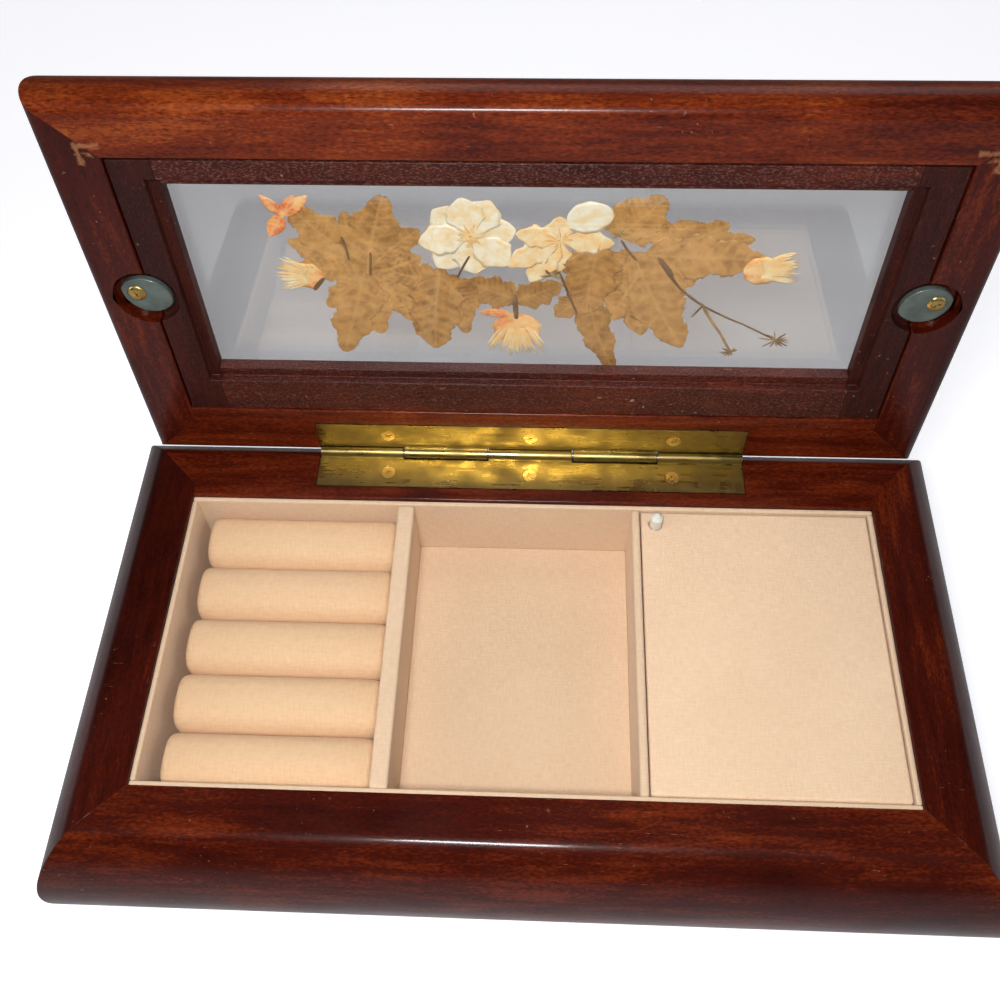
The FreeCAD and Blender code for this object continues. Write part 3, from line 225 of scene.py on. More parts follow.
def scrape_group():
    """Bare scrapes at the two front corners of the lid's rebate: two ragged strokes each."""
    tree, given, made = new_group("corner_scrapes", [("Place", "Vector", None)],
                                  [("Mask", "Float")])
    place = given["Place"]
    across = math_of(tree, "ABSOLUTE", parts_of(tree, place)["X"])
    up = measured(tree, place, LID_UP)
    ragged = math_of(tree, "SUBTRACT", noise(tree, place, 900.0), 0.5)
    ragged = math_of(tree, "MULTIPLY", ragged, 0.0022)

    def past(value, middle, half):
        off = math_of(tree, "ABSOLUTE", math_of(tree, "SUBTRACT", value, middle))
        return math_of(tree, "SUBTRACT", off, half)

    mask = None
    for middle_x, middle_up, half_x, half_up in ((0.0864, 0.1357, 0.0026, 0.0005),
                                                 (0.0884, 0.1337, 0.0005, 0.0024),
                                                 (0.0868, 0.1340, 0.0009, 0.0004)):
        edge = math_of(tree, "MAXIMUM", past(across, middle_x, half_x),
                       past(up, middle_up, half_up))
        edge = math_of(tree, "ADD", edge, ragged)
        stroke = span(tree, edge, 0.0003, -0.0004, 0.0, 0.55)
        mask = stroke if mask is None else math_of(tree, "MAXIMUM", mask, stroke)
    inner_face = span(tree, measured(tree, place, LID_OUT), 0.0486, 0.0482)
    feed(tree, made, Mask=math_of(tree, "MULTIPLY", mask, inner_face))
    return tree


MAHOGANY = mahogany_group()
SCUFFS = scuff_group()
SCRAPES = scrape_group()


def lacquered(name, turn, depth=0.0, scraped=False, haze=0.12):
    """Lacquered mahogany whose grain runs along X after the given turn."""
    material, tree, surface = new_material(name, Coat_Weight=0.35, Coat_Roughness=haze,
                                           Coat_IOR=1.5, Specular_IOR_Level=0.08)
    place = object_place(tree)
    grain = shade(tree, "Mapping", {"Vector": place, "Rotation": turn}).outputs["Vector"]
    wood = place_group(tree, MAHOGANY, {"Grain": grain, "Depth": depth})
    mask = place_group(tree, SCUFFS, {"Place": place, "Amount": 0.55})["Mask"]
    colour = mixed(tree, mask, wood["Colour"], (0.34, 0.17, 0.10, 1))
    if scraped:
        bare = place_group(tree, SCRAPES, {"Place": place})["Mask"]
        colour = mixed(tree, bare, colour, (0.40, 0.17, 0.075, 1))
    feed(tree, surface, Base_Color=colour, Roughness=wood["Roughness"],
         Normal=bump(tree, wood["Height"], 0.00004, 0.3))
    return material


ALONG_X = (0.0, 0.0, 0.0)
ALONG_Y = (0.0, 0.0, math.radians(90))
ALONG_Z = (0.0, math.radians(90), 0.0)
# The side rails are stained darker than the front and rear by their offset: partly their own tone,
# partly painted shade on sides that turn away from the light.
BASE_WOOD_X = lacquered("case_mahogany_long", ALONG_X, 0.005)
BASE_WOOD_Y = lacquered("case_mahogany_side", ALONG_Y, 0.05)


def add_piece(name, mesh, body, stands_for, slot, *materials):
    """A new piece in place of its plain parts, riding on their body."""
    piece = bpy.data.objects.new(name, mesh)
    scene.collection.objects.link(piece)
    mesh.materials.clear()
    for material in materials:
        mesh.materials.append(material)
    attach(piece, body)
    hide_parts(*stands_for)
    return piece


def mesh_of(name, form):
    """The form as a mesh of its own."""
    mesh = bpy.data.meshes.new(name)
    form.to_mesh(mesh)
    form.free()
    return mesh


def welded_form(node):
    """The part's own form with its facets joined up and its flat faces made whole."""
    near, level = 0.001 * MM, math.radians(0.4)
    form = bmesh.new()
    form.from_mesh(frame["nodes"][node].data)
    bmesh.ops.remove_doubles(form, verts=form.verts, dist=near)
    bmesh.ops.dissolve_limit(form, angle_limit=level, verts=form.verts, edges=form.edges)
    return form


def is_end(face, along):
    """Whether a face crosses the length of its rail, as a mitre does."""
    return abs(face.normal.dot(along)) > 0.2


def broad_arris(form, along, flat, outward, corner, turn, radius):
    """Rubs down one long arris to a broad round; corner is where its two faces would meet."""
    steps, slack = 8, 0.001
    side = flat * math.cos(turn) + outward * math.sin(turn)
    middle = corner - (flat + side) * radius / (1 + flat.dot(side))
    limit = (corner - middle).dot((flat + side).normalized()) * 1.02

    def off_axis(point):
        off = point - middle
        return off - along * off.dot(along)

    near = dict.fromkeys(f for v in form.verts if off_axis(v.co).length < 1.6 * limit
                         for f in v.link_faces if not is_end(f, along))
    for step in range(steps + 1):
        angle = turn * step / steps
        cut = outward * math.cos(angle) - flat * math.sin(angle)
        parts = dict.fromkeys([*near, *(e for f in near for e in f.edges),
                               *(v for f in near for v in f.verts)])
        made = bmesh.ops.bisect_plane(form, geom=list(parts), dist=0.0005 * MM, plane_co=middle,
                                      plane_no=cut)
        near = [part for part in made["geom"] if isinstance(part, bmesh.types.BMFace)]
    form.normal_update()
    moves = []
    for vertex in form.verts:
        off = off_axis(vertex.co)
        angle = math.atan2(off.dot(outward), off.dot(flat))
        if -slack < angle < turn + slack and radius < off.length < limit:
            move = off * (radius / off.length - 1)
            for face in vertex.link_faces:
                if is_end(face, along):
                    move -= along * (move.dot(face.normal) / along.dot(face.normal))
                    break
            moves.append((vertex, move))
    for vertex, move in moves:
        vertex.co += move
    form.normal_update()


def eased_copy(name, node, slot, material, ease, joint_ease=None, along=None, arris=None,
               steps=3):
    """The part with its sharp edges eased, its mitred ends less, and its arris rubbed round."""
    sharp = math.radians(33)
    form = welded_form(node)
    if arris:
        broad_arris(form, along, *arris)
    weight = form.edges.layers.float.new("bevel_weight_edge")
    for edge in form.edges:
        if len(edge.link_faces) == 2 and edge.calc_face_angle() > sharp:
            edge[weight] = 1.0
            if along and any(is_end(f, along) for f in edge.link_faces):
                edge[weight] = joint_ease / ease
    mesh = mesh_of(name, form)
    mesh.shade_smooth()
    body = frame["nodes"][node]["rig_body"]
    piece = add_piece(name, mesh, body, [node], slot, material)
    easing = piece.modifiers.new("eased_edges", "BEVEL")
    easing.width = ease
    easing.segments = steps
    easing.limit_method = "WEIGHT"
    easing.use_clamp_overlap = False
    piece.modifiers.new("even_shading", "WEIGHTED_NORMAL").weight = 80
    return piece


RAIL_EASE = 0.4 * MM
MITRE_EASE = 0.06 * MM
CASE_ARRIS = math.radians(41.4), 4.5 * MM
case_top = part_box("base_front_rail")[1].z
for side, along, wood, outward, reach in (
        ("front", X, BASE_WOOD_X, -Y, 49.46), ("rear", X, BASE_WOOD_X, Y, 49.46),
        ("left", Y, BASE_WOOD_Y, -X, 95.41), ("right", Y, BASE_WOOD_Y, X, 95.41)):
    corner = outward * reach * MM + Z * case_top
    eased_copy(f"base_{side}_moulding", f"base_{side}_rail", "lacquered_wood", wood,
               RAIL_EASE, MITRE_EASE, along, (Z, outward, corner, *CASE_ARRIS))


# Bottom: a sheet of birch plywood let into the grooves of the rails, and a plain board of the
# same stuff that carries the rolls and the tray.

def put_on(material, nodes):
    """Give plain parts, whose shape needs nothing more, their finish."""
    for node in nodes:
        frame["nodes"][node].material_slots[0].material = material


def plain_finish(name, nodes, colours, roughness, stretch, scale, height=0.00004, **sockets):
    """A finish with its own fine grain."""
    material, tree, surface = new_material(name, **sockets)
    place = object_place(tree)
    fine = noise(tree, place, scale, stretch, 3.0)
    broad = noise(tree, place, scale * 0.12, stretch, 2.0)
    grain = weighted(tree, (fine, 0.6), (broad, 0.4))
    feed(tree, surface, Base_Color=ramp(tree, grain, [(0.36, colours[0]), (0.64, colours[1])]),
         Roughness=span(tree, fine, 0.3, 0.7, *roughness), Normal=bump(tree, fine, height, 0.6))
    put_on(material, nodes)


plain_finish("birch_plywood", ["bottom_panel", "floor_board", "cover_posts"],
             ((0.42, 0.25, 0.12), (0.62, 0.42, 0.23)), (0.55, 0.75), (0.05, 1, 1), 900)


# Felt feet: four pads of dark pressed felt, glued under the corners so that the case stands
# clear of the table.

plain_finish("pressed_felt", ["felt_feet"], ((0.05, 0.018, 0.013), (0.10, 0.04, 0.03)),
             (0.92, 1.0), (1, 1, 1), 2600, 0.0002, Sheen_Weight=0.4)


# Lining: card covered in a beige plain-weave cotton, glued to the inner walls, with the cloth
# turned over each top edge. The dividers, tray floor and movement cover are made the same way.

def weave_group():
    """Plain weave over X and Y of its place: crossing threads, slubs and uneven dye, with painted
    shade in the dips between the raised threads.
    """
    tree, given, made = new_group(
        "plain_weave", [("Place", "Vector", None), ("Cloth", "Color", (0.7, 0.5, 0.3, 1))],
        [("Colour", "Color"), ("Height", "Float")])
    thread = 0.46 * MM
    sway = shade(tree, "TexNoise", {"Vector": given["Place"], "Scale": 160.0, "Detail": 1.0})
    shift = shade(tree, "VectorMath", {0: sway.outputs["Color"], 1: (0.0004, 0.0004, 0.0)},
                  operation="MULTIPLY_ADD")
    tree.links.new(given["Place"], shift.inputs[2])
    parts = parts_of(tree, shift.outputs[0])
    turns = 2 * math.pi / thread
    warp = math_of(tree, "SINE", math_of(tree, "MULTIPLY", parts["X"], turns))
    weft = math_of(tree, "SINE", math_of(tree, "MULTIPLY", parts["Y"], turns))
    crossing = span(tree, math_of(tree, "MULTIPLY", warp, weft), -1.0, 1.0)
    slub_x = noise(tree, given["Place"], 1.0, (420, 2400, 2400), 2.0)
    slub_y = noise(tree, given["Place"], 1.0, (2400, 420, 2400), 2.0)
    slub = math_of(tree, "MULTIPLY", math_of(tree, "ADD", slub_x, slub_y), 0.5)
    height = math_of(tree, "ADD", math_of(tree, "MULTIPLY", crossing, 0.6), slub)
    soil = noise(tree, given["Place"], 38.0, detail=3.0)
    # The colour follows the weave's height: lighter on raised crossings and slubs and darker in the
    # dips, as painted shade; the soil noise is uneven dye.
    level = weighted(tree, (span(tree, slub, 0.35, 0.65), 0.30), (crossing, 0.16),
                     (span(tree, soil, 0.3, 0.7), 0.12))
    dark = mixed(tree, 1.0, given["Cloth"], (0.80, 0.76, 0.70, 1), blend_type="MULTIPLY")
    cloth = mixed(tree, math_of(tree, "MULTIPLY", level, 1.7), dark, given["Cloth"])
    feed(tree, made, Colour=cloth, Height=height)
    return tree


def face_place_group():
    """The two directions in the plane of whichever square face is shaded."""
    tree, given, made = new_group("face_place", [("Place", "Vector", None)], [("Place", "Vector")])
    faces = parts_of(tree, shade(tree, "TexCoord").outputs["Normal"])
    parts = parts_of(tree, given["Place"])

    def facing(axis):
        return math_of(tree, "GREATER_THAN", math_of(tree, "ABSOLUTE", faces[axis]), 0.72)

    across = shade(tree, "Mix", {"Factor": facing("X"), "A": parts["X"], "B": parts["Y"]})
    upright = math_of(tree, "MAXIMUM", facing("X"), facing("Y"))
    down = shade(tree, "Mix", {"Factor": upright, "A": parts["Y"], "B": parts["Z"]})
    joined = shade(tree, "CombineXYZ", {"X": across.outputs["Result"], "Y": down.outputs["Result"]})
    feed(tree, made, Place=joined.outputs[0])
    return tree


WEAVE = weave_group()
FACE_PLACE = face_place_group()


def cotton(name, colour, girth=None):
    """Cotton cloth; girth names the attribute that counts the way round a roll."""
    material, tree, surface = new_material(name, Roughness=0.92, Specular_IOR_Level=0.15,
                                           Sheen_Weight=0.15, Sheen_Roughness=0.5)
    place = object_place(tree)
    if girth:
        around = shade(tree, "Attribute", attribute_name=girth).outputs["Fac"]
        length = parts_of(tree, place)["X"]
        threads = shade(tree, "CombineXYZ", {"X": length, "Y": around}).outputs[0]
    else:
        threads = place_group(tree, FACE_PLACE, {"Place": place})["Place"]
    cloth = place_group(tree, WEAVE, {"Place": threads, "Cloth": (*colour, 1.0)})
    feed(tree, surface, Base_Color=cloth["Colour"],
         Normal=bump(tree, cloth["Height"], 0.00012, 0.7))
    return material


LINING_CLOTH = cotton("lining_cotton", (0.81, 0.60, 0.42))
COVER_CLOTH = cotton("cover_cotton", (0.89, 0.65, 0.455))
WALL_EASE, BOARD_EASE, FLOOR_EASE = 0.42 * MM, 0.7 * MM, 0.3 * MM
for side in ("front", "rear", "left", "right"):
    eased_copy(f"{side}_wall_cloth", f"{side}_lining", "lining_fabric", LINING_CLOTH, WALL_EASE)
for node in ("left_divider", "right_divider"):
    eased_copy(f"{node}_cloth", node, "lining_fabric", LINING_CLOTH, BOARD_EASE)
eased_copy("tray_floor_cloth", "tray_floor", "lining_fabric", LINING_CLOTH, FLOOR_EASE)
eased_copy("movement_cover_cloth", "movement_cover", "cover_fabric", COVER_CLOTH, BOARD_EASE)


# Ring rolls: five bolsters of foam wrapped in the same cotton, pressed side by side into the
# left bay so that a ring's shank is gripped between two of them.

ROLL_NODES = [f"ring_roll_{i}" for i in range(1, 6)]
ROLL_CLOTH = cotton("roll_cotton", (0.84, 0.575, 0.355), girth="girth")
ROLL_SCALE = 25.0
ROLL_GRID = 1.0 * MM
ROLL_SHRINK = Vector((0.996, 0.985, 0.985))
ROLL_CAP = 0.30 * MM
ROLL_FRAMES = 20
GLUED_SHARE = 0.12
# The stuffed crown is fuller than a plain half round; two would be a circle.
ROLL_FULL = 2.8


def roll_blank(node):
    """A slightly slack copy of a roll at a large scale, evenly meshed, with its foot held."""
    low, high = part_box(node)
    foot = Vector(((low.x + high.x) / 2, (low.y + high.y) / 2, low.z))
    half = (high.y - low.y) / 2
    spring = high.z - low.z - half
    form = welded_form(node)
    for vertex in form.verts:
        spot = vertex.co - foot
        if spot.z > spring:
            across, up = abs(spot.y) / half, (spot.z - spring) / half
            reach = math.hypot(across, up)
            full = reach / max(1e-6, (across ** ROLL_FULL + up ** ROLL_FULL) ** (1 / ROLL_FULL))
            spot.y *= full
            spot.z = spring + (spot.z - spring) * full
        vertex.co = spot * ROLL_SHRINK * ROLL_SCALE
    blank = bpy.data.objects.new(node + "_blank", mesh_of(node + "_blank", form))
    scene.collection.objects.link(blank)
    even = blank.modifiers.new("even", "REMESH")
    even.mode = "VOXEL"
    even.voxel_size = ROLL_GRID * ROLL_SCALE
    blank.data = settled_mesh(blank)
    blank.modifiers.clear()
    return blank, foot


def settled_mesh(blank):
    """The object's mesh as its modifiers leave it."""
    graph = bpy.context.evaluated_depsgraph_get()
    return bpy.data.meshes.new_from_object(blank.evaluated_get(graph))


def stuff_with_foam(blank):
    """Inflate the cloth a little, with the foot of the roll glued down."""
    held = blank.vertex_groups.new(name="glued")
    top = max(v.co.z for v in blank.data.vertices)
    held.add([v.index for v in blank.data.vertices if v.co.z < GLUED_SHARE * top], 1.0,
             "REPLACE")
    cloth = blank.modifiers.new("cloth", "CLOTH")
    cloth.settings.quality = 6
    cloth.settings.use_pressure = True
    cloth.settings.uniform_pressure_force = 4.0
    cloth.settings.effector_weights.gravity = 0.0
    cloth.settings.vertex_group_mass = "glued"
    cloth.settings.bending_stiffness = 2.0
    cloth.point_cache.frame_start = 1
    cloth.point_cache.frame_end = ROLL_FRAMES


blanks = [roll_blank(node) for node in ROLL_NODES]
starts = [[v.co.copy() for v in blank.data.vertices] for blank, _ in blanks]
for blank, _ in blanks:
    stuff_with_foam(blank)
for step in range(1, ROLL_FRAMES + 1):
    scene.frame_set(step)
for node, (blank, foot), start in zip(ROLL_NODES, blanks, starts):
    mesh = settled_mesh(blank)
    bpy.data.objects.remove(blank)
    low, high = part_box(node)
    axis = Vector((0, (low.y + high.y) / 2, low.z + 0.55 * (high.z - low.z)))
    girth = mesh.attributes.new("girth", "FLOAT", "POINT")
    for vertex, before in zip(mesh.vertices, start):
        moved = (vertex.co - before) / ROLL_SCALE
        moved = moved.normalized() * min(moved.length, ROLL_CAP)
        place = before / ROLL_SCALE + foot + moved
        vertex.co = [min(max(p, a), b) for p, a, b in zip(place, low, high)]
        angle = math.atan2(vertex.co.z - axis.z, vertex.co.y - axis.y)
        girth.data[vertex.index].value = angle * (high.y - low.y) / 2
    mesh.shade_smooth()
    roll = add_piece(node + "_bolster", mesh, "case", [node], "roll_fabric", ROLL_CLOTH)
    roll.modifiers.new("smooth", "SUBSURF").levels = 1
    roll.modifiers["smooth"].render_levels = 1


# Hinge: a brass piano hinge let into the two rear rails, its knuckles rolled from the leaf and
# drawn together by a steel pin. Small countersunk brass screws hold each leaf.

def metal_group():
    """Handled metal: rubbed bright in places, dulled and spotted in others."""
    tree, given, made = new_group(
        "handled_metal", [("Place", "Vector", None), ("Bright", "Color", None),
                          ("Dull", "Color", None), ("Brush", "Vector", (1, 1, 1))],
        [("Colour", "Color"), ("Roughness", "Float"), ("Height", "Float")])
    brushed = shade(tree, "VectorMath", {0: given["Place"], 1: given["Brush"]},
                    operation="MULTIPLY").outputs[0]
    lines = shade(tree, "TexNoise", {"Vector": brushed, "Scale": 1500.0}).outputs["Fac"]
    cloud = noise(tree, given["Place"], 170.0, detail=4.0)
    dulled = span(tree, cloud, 0.38, 0.66)
    rough = math_of(tree, "ADD", math_of(tree, "MULTIPLY", dulled, 0.2),
                    span(tree, lines, 0.3, 0.7, 0.16, 0.34))
    feed(tree, made, Colour=mixed(tree, dulled, given["Bright"], given["Dull"]),
         Roughness=rough, Height=lines)
    return tree


METAL = metal_group()


def metal(name, bright, dull, brush, *nodes):
    """A metal finish, brushed along the axes whose brush value is small."""
    material, tree, surface = new_material(name, Metallic=1.0)
    worn = place_group(tree, METAL, {"Place": object_place(tree), "Bright": (*bright, 1.0),
                                     "Dull": (*dull, 1.0), "Brush": brush})
    feed(tree, surface, Base_Color=worn["Colour"], Roughness=worn["Roughness"],
         Normal=bump(tree, worn["Height"], 0.00001, 0.15))
    put_on(material, nodes)
    return material


DRAWN, EVEN = (0.03, 1, 1), (1, 1, 1)
HINGE_BRASS = metal("hinge_brass", (0.40, 0.30, 0.10), (0.28, 0.205, 0.07), DRAWN)
SCREW_BRASS = metal("screw_brass", (0.76, 0.55, 0.20), (0.50, 0.34, 0.11), EVEN)
metal("drawn_steel", (0.62, 0.62, 0.63), (0.40, 0.40, 0.41), DRAWN,
      "hinge_pin", "winding_arbor", "comb", "mainspring", "movement_screws", "comb_screws",
      "stop_lever", "governor_wheel", "winding_key")
LEAF_EASE = 0.12 * MM
for node in ("hinge_base_leaf", "hinge_lid_leaf"):
    eased_copy(node + "_brass", node, "hinge_brass", HINGE_BRASS, LEAF_EASE, steps=2)


def turned(form, profile, place, axis, sides=28):
    """A closed turned form about an axis; profile is (radius, height) from pole to pole."""
    frame_of = axis.to_track_quat("Z", "Y").to_matrix()
    rings = []
    for radius, height in profile:
        spots = [(0, 0)] if radius == 0 else [
            (radius * math.cos(2 * math.pi * k / sides), radius * math.sin(2 * math.pi * k / sides))
            for k in range(sides)]
        rings.append([form.verts.new(place + frame_of @ Vector((x, y, height))) for x, y in spots])
    for lower, upper in zip(rings, rings[1:]):
        for k in range(sides):
            corners = [lower[k % len(lower)], lower[(k + 1) % len(lower)],
                       upper[(k + 1) % len(upper)], upper[k % len(upper)]]
            form.faces.new(list(dict.fromkeys(corners)))
    return frame_of


def cross_headed(name, node, places, axis, profile, recess):
    """Screws with a cross recess in the head, cut from turned forms."""
    form = bmesh.new()
    cutter = bmesh.new()
    width, length, depth = recess
    top = profile[-1][1]
    for place in places:
        frame_of = turned(form, profile, place, axis)
        for turn in (0.0, math.pi / 2):
            spin = Matrix.Rotation(turn + 0.5, 3, "Z")
            made = bmesh.ops.create_cube(cutter, size=1.0)["verts"]
            for vertex in made:
                taper = 0.55 if vertex.co.z < 0 else 1.0
                local = Vector((vertex.co.x * length * taper, vertex.co.y * width * taper,
                                top + vertex.co.z * 2 * depth))
                vertex.co = place + frame_of @ (spin @ local)
    bmesh.ops.recalc_face_normals(form, faces=form.faces)
    bmesh.ops.recalc_face_normals(cutter, faces=cutter.faces)
    mesh = mesh_of(name, form)
    tool = bpy.data.objects.new(name + "_punch", mesh_of(name + "_punch", cutter))
    body = frame["nodes"][node]["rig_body"]
    piece = add_piece(name, mesh, body, [node], "screw_brass", SCREW_BRASS)
    scene.collection.objects.link(tool)
    cut = piece.modifiers.new("recess", "BOOLEAN")
    cut.object = tool
    cut.operation = "DIFFERENCE"
    cut.solver = "EXACT"
    cut.use_self = True
    bpy.context.view_layer.update()
    piece.data = settled_mesh(piece)
    piece.modifiers.clear()
    bpy.data.objects.remove(tool)
    piece.data.shade_smooth()
    piece.data.set_sharp_from_angle(angle=math.radians(35))


def screw_middles(node, count, radius):
    """Where a row of like screws stands along X, from the node's own solids."""
    xs = [v.co.x for v in frame["nodes"][node].data.vertices]
    first, last = min(xs) + radius, max(xs) - radius
    return [first + (last - first) * k / (count - 1) for k in range(count)]


def lid_heads(node):
    """A point on the lid's upright middle line, level with the heads of the node's screws."""
    spots = [v.co for v in frame["nodes"][node].data.vertices]
    up = sum(spot.dot(LID_UP) for spot in spots) / len(spots)
    return LID_UP * up + LID_OUT * min(spot.dot(LID_OUT) for spot in spots)


HINGE_HEAD = 1.8 * MM
HINGE_SCREW = [(r * MM, h * MM) for r, h in (
    (0, -7.6), (0.35, -7.0), (0.75, -6.2), (0.85, -5.2), (0.85, -1.0), (1.78, -0.06),
    (1.78, -0.02), (0, 0.0))]
HINGE_RECESS = 0.45 * MM, 2.0 * MM, 0.5 * MM
low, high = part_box("hinge_base_screws")
cross_headed("hinge_base_screw_heads", "hinge_base_screws",
             [Vector((x, (low.y + high.y) / 2, high.z))
              for x in screw_middles("hinge_base_screws", 3, HINGE_HEAD)],
             Z, HINGE_SCREW, HINGE_RECESS)
level = lid_heads("hinge_lid_screws")
cross_headed("hinge_lid_screw_heads", "hinge_lid_screws",
             [X * x + level for x in screw_middles("hinge_lid_screws", 3, HINGE_HEAD)],
             -LID_OUT, HINGE_SCREW, HINGE_RECESS)


# Musical movement: a cast bedplate with a steel comb, a pinned brass cylinder, a spring barrel
# and an air-brake governor, screwed to the bottom under the cover. Its key stands below.

metal("cast_zinc", (0.55, 0.56, 0.58), (0.36, 0.37, 0.39), EVEN,
      "movement_bedplate", "governor_frame")
metal("clock_brass", (0.80, 0.58, 0.22), (0.58, 0.39, 0.13), EVEN,
      "music_cylinder", "spring_barrel", "barrel_gear")
metal("fly_metal", (0.60, 0.61, 0.63), (0.42, 0.43, 0.45), EVEN, "governor_fly")
plain_finish("plunger_plastic", ["stop_plunger"], ((0.70, 0.68, 0.62), (0.78, 0.76, 0.70)),
             (0.3, 0.45), (1, 1, 1), 700, 0.00001)


# Lid rails: the same mahogany moulded with a rounded shoulder, mitred, and rebated inside for
# the glass. Each side rail has a round recess for a retaining tab.

# The lid's long rails are made lighter and its side rails darker by their offsets: painted light on
# the long rails and painted shade on the sides, over the pieces' own tone.
LID_WOOD_X = lacquered("lid_mahogany_long", ALONG_X, -0.055, scraped=True, haze=0.2)
LID_WOOD_Z = lacquered("lid_mahogany_side", ALONG_Z, 0.03, scraped=True)
LID_ARRIS = math.radians(64.3), 2.6 * MM
LID_FLAT = LID_OUT * 47.11 * MM
for side, along, wood, outward, reach in (
        ("front", X, LID_WOOD_X, LID_UP, 144.02), ("rear", X, LID_WOOD_X, -LID_UP, -44.96),
        ("left", LID_UP, LID_WOOD_Z, -X, 95.48), ("right", LID_UP, LID_WOOD_Z, X, 95.48)):
    corner = outward * reach * MM + LID_FLAT
    eased_copy(f"lid_{side}_moulding", f"lid_{side}_rail", "lacquered_wood", wood,
               RAIL_EASE, MITRE_EASE, along, (-LID_OUT, outward, corner, *LID_ARRIS))


# Glass: two panes of clear float glass with the pressed plants between them, resting on the
# lip of the rebate.

def join_shaders(tree, joint, other, first_input):
    """Join the surface shader with another one and put both on the material's output."""
    tree.links.new(tree.nodes["Principled BSDF"].outputs[0], joint.inputs[first_input])
    tree.links.new(other.outputs[0], joint.inputs[first_input + 1])
    feed(tree, tree.nodes["Material Output"].inputs, Surface=joint.outputs[0])


glass, tree, surface = new_material("float_glass", Transmission_Weight=1.0, Roughness=0.0,
                                    IOR=1.48)
smear = noise(tree, object_place(tree), 60.0, detail=4.0)
feed(tree, surface, Roughness=span(tree, smear, 0.45, 0.75, 0.0, 0.05))
clear = shade(tree, "BsdfTransparent", {"Color": (0.97, 0.98, 0.975, 1)})
shadow = shade(tree, "LightPath").outputs["Is Shadow Ray"]
join_shaders(tree, shade(tree, "MixShader", {"Fac": shadow}), clear, 1)
put_on(glass, ["outer_glass", "inner_glass"])


# Pressed plants: dried tan leaves, cream blossoms, fringed seed heads and thin stems, laid
# between the panes. Each is a thin sheet with its own outline and veins.

WINDOW = Vector((0, 61.148, 92.344)) * MM
SHEET = 0.04
VEIN_RISE = 0.02
rng = random.Random(11)


def laid(u, v, depth):
    """A spot between the panes, in mm: u to the right, v up the lid, depth out through it."""
    return WINDOW + X * (u * MM) + LID_UP * (v * MM) + LID_OUT * (depth * MM)


def new_sheets():
    """An empty form whose points carry a tint and a share of vein."""
    form = bmesh.new()
    return form, form.verts.layers.float.new("tint"), form.verts.layers.float.new("vein")


def keep_sheets(name, node, slot, sheets, material):
    """The finished sheets as one piece on the lid."""
    mesh = mesh_of(name, sheets[0])
    mesh.shade_smooth()
    add_piece(name, mesh, "lid", [node], slot, material)


def blade(sheets, base, tip, breadth, depth, tint_value, teeth=0.0, blunt=0.8, fullest=0.8,
          veins=0, bend=0.0, rows=30, across=8):
    """One leaflet, petal or strand: a closed thin sheet along a midrib, with teeth and veins."""
    form, tint, vein = sheets
    du, dv = tip[0] - base[0], tip[1] - base[1]
    length = math.hypot(du, dv)
    ahead, aside = (du / length, dv / length), (-dv / length, du / length)
    phase = rng.uniform(0, 1)
    faces_of = []
    for back in (False, True):
        grid = []
        for r in range(rows + 1):
            t = 0.004 + 0.992 * r / rows
            half = breadth / 2 * max(0.02, math.sin(math.pi * t ** fullest)) ** blunt
            saw = (t * 13 + phase) % 1.0
            half *= 1 + teeth * (0.7 * (1 - saw) - 0.3 + 0.7 * math.sin(21 * t + 9 * phase))
            line = []
            for c in range(across + 1):
                s = 2 * c / across - 1
                reach = t * length + teeth * abs(s) ** 2 * 0.10 * breadth
                lean = bend * length * math.sin(math.pi * t) + s * half
                rib = math.exp(-(s * half / 0.22) ** 2)
                if veins:
                    branch = ((t - 0.5 * abs(s) * half / length) * veins) % 1.0
                    rib = max(rib, 0.7 * math.exp(-((branch - 0.5) / 0.16) ** 2))
                rise = 0.0 if back else VEIN_RISE * rib
                spot = laid(base[0] + ahead[0] * reach + aside[0] * lean,
                            base[1] + ahead[1] * reach + aside[1] * lean,
                            depth + (SHEET if back else 0.0) - rise)
                vertex = form.verts.new(spot)
                vertex[tint] = tint_value
                vertex[vein] = rib
                line.append(vertex)
            grid.append(line)
        for low, high in zip(grid, grid[1:]):
            for c in range(across):
                corners = [low[c], low[c + 1], high[c + 1], high[c]]
                form.faces.new(corners if back else corners[::-1])
        faces_of.append(grid)
    front, rear = faces_of
    rim = [(r, 0) for r in range(rows + 1)] + [(rows, c) for c in range(1, across + 1)]
    rim += [(r, across) for r in range(rows - 1, -1, -1)]
    rim += [(0, c) for c in range(across - 1, 0, -1)]
    for (r0, c0), (r1, c1) in zip(rim, rim[1:] + rim[:1]):
        form.faces.new([front[r0][c0], rear[r0][c0], rear[r1][c1], front[r1][c1]])


def fringe(sheets, base, tip, breadth, depth, tint_value):
    """A dried seed head: a small cup and a fan of fine strands."""
    du, dv = tip[0] - base[0], tip[1] - base[1]
    length, heading = math.hypot(du, dv), math.atan2(dv, du)
    cup = (base[0] + 0.78 * du, base[1] + 0.78 * dv)
    blade(sheets, base, cup, breadth * 0.8, depth + 0.05, tint_value - 0.22, 0.06, 0.6, veins=7)
    opening = math.atan2(breadth / 2, length * 0.8)
    for k in range(34):
        turn = heading + opening * (k / 16.5 - 1) + rng.uniform(-0.05, 0.05)
        reach = length * rng.uniform(0.84, 1.06)
        start = (base[0] + 0.35 * length * math.cos(turn), base[1] + 0.35 * length * math.sin(turn))
        end = (base[0] + reach * math.cos(turn), base[1] + reach * math.sin(turn))
        blade(sheets, start, end, rng.uniform(0.45, 0.8), depth + 0.0012 * k, tint_value,
              blunt=0.6, bend=rng.uniform(-0.05, 0.05), rows=5, across=2)


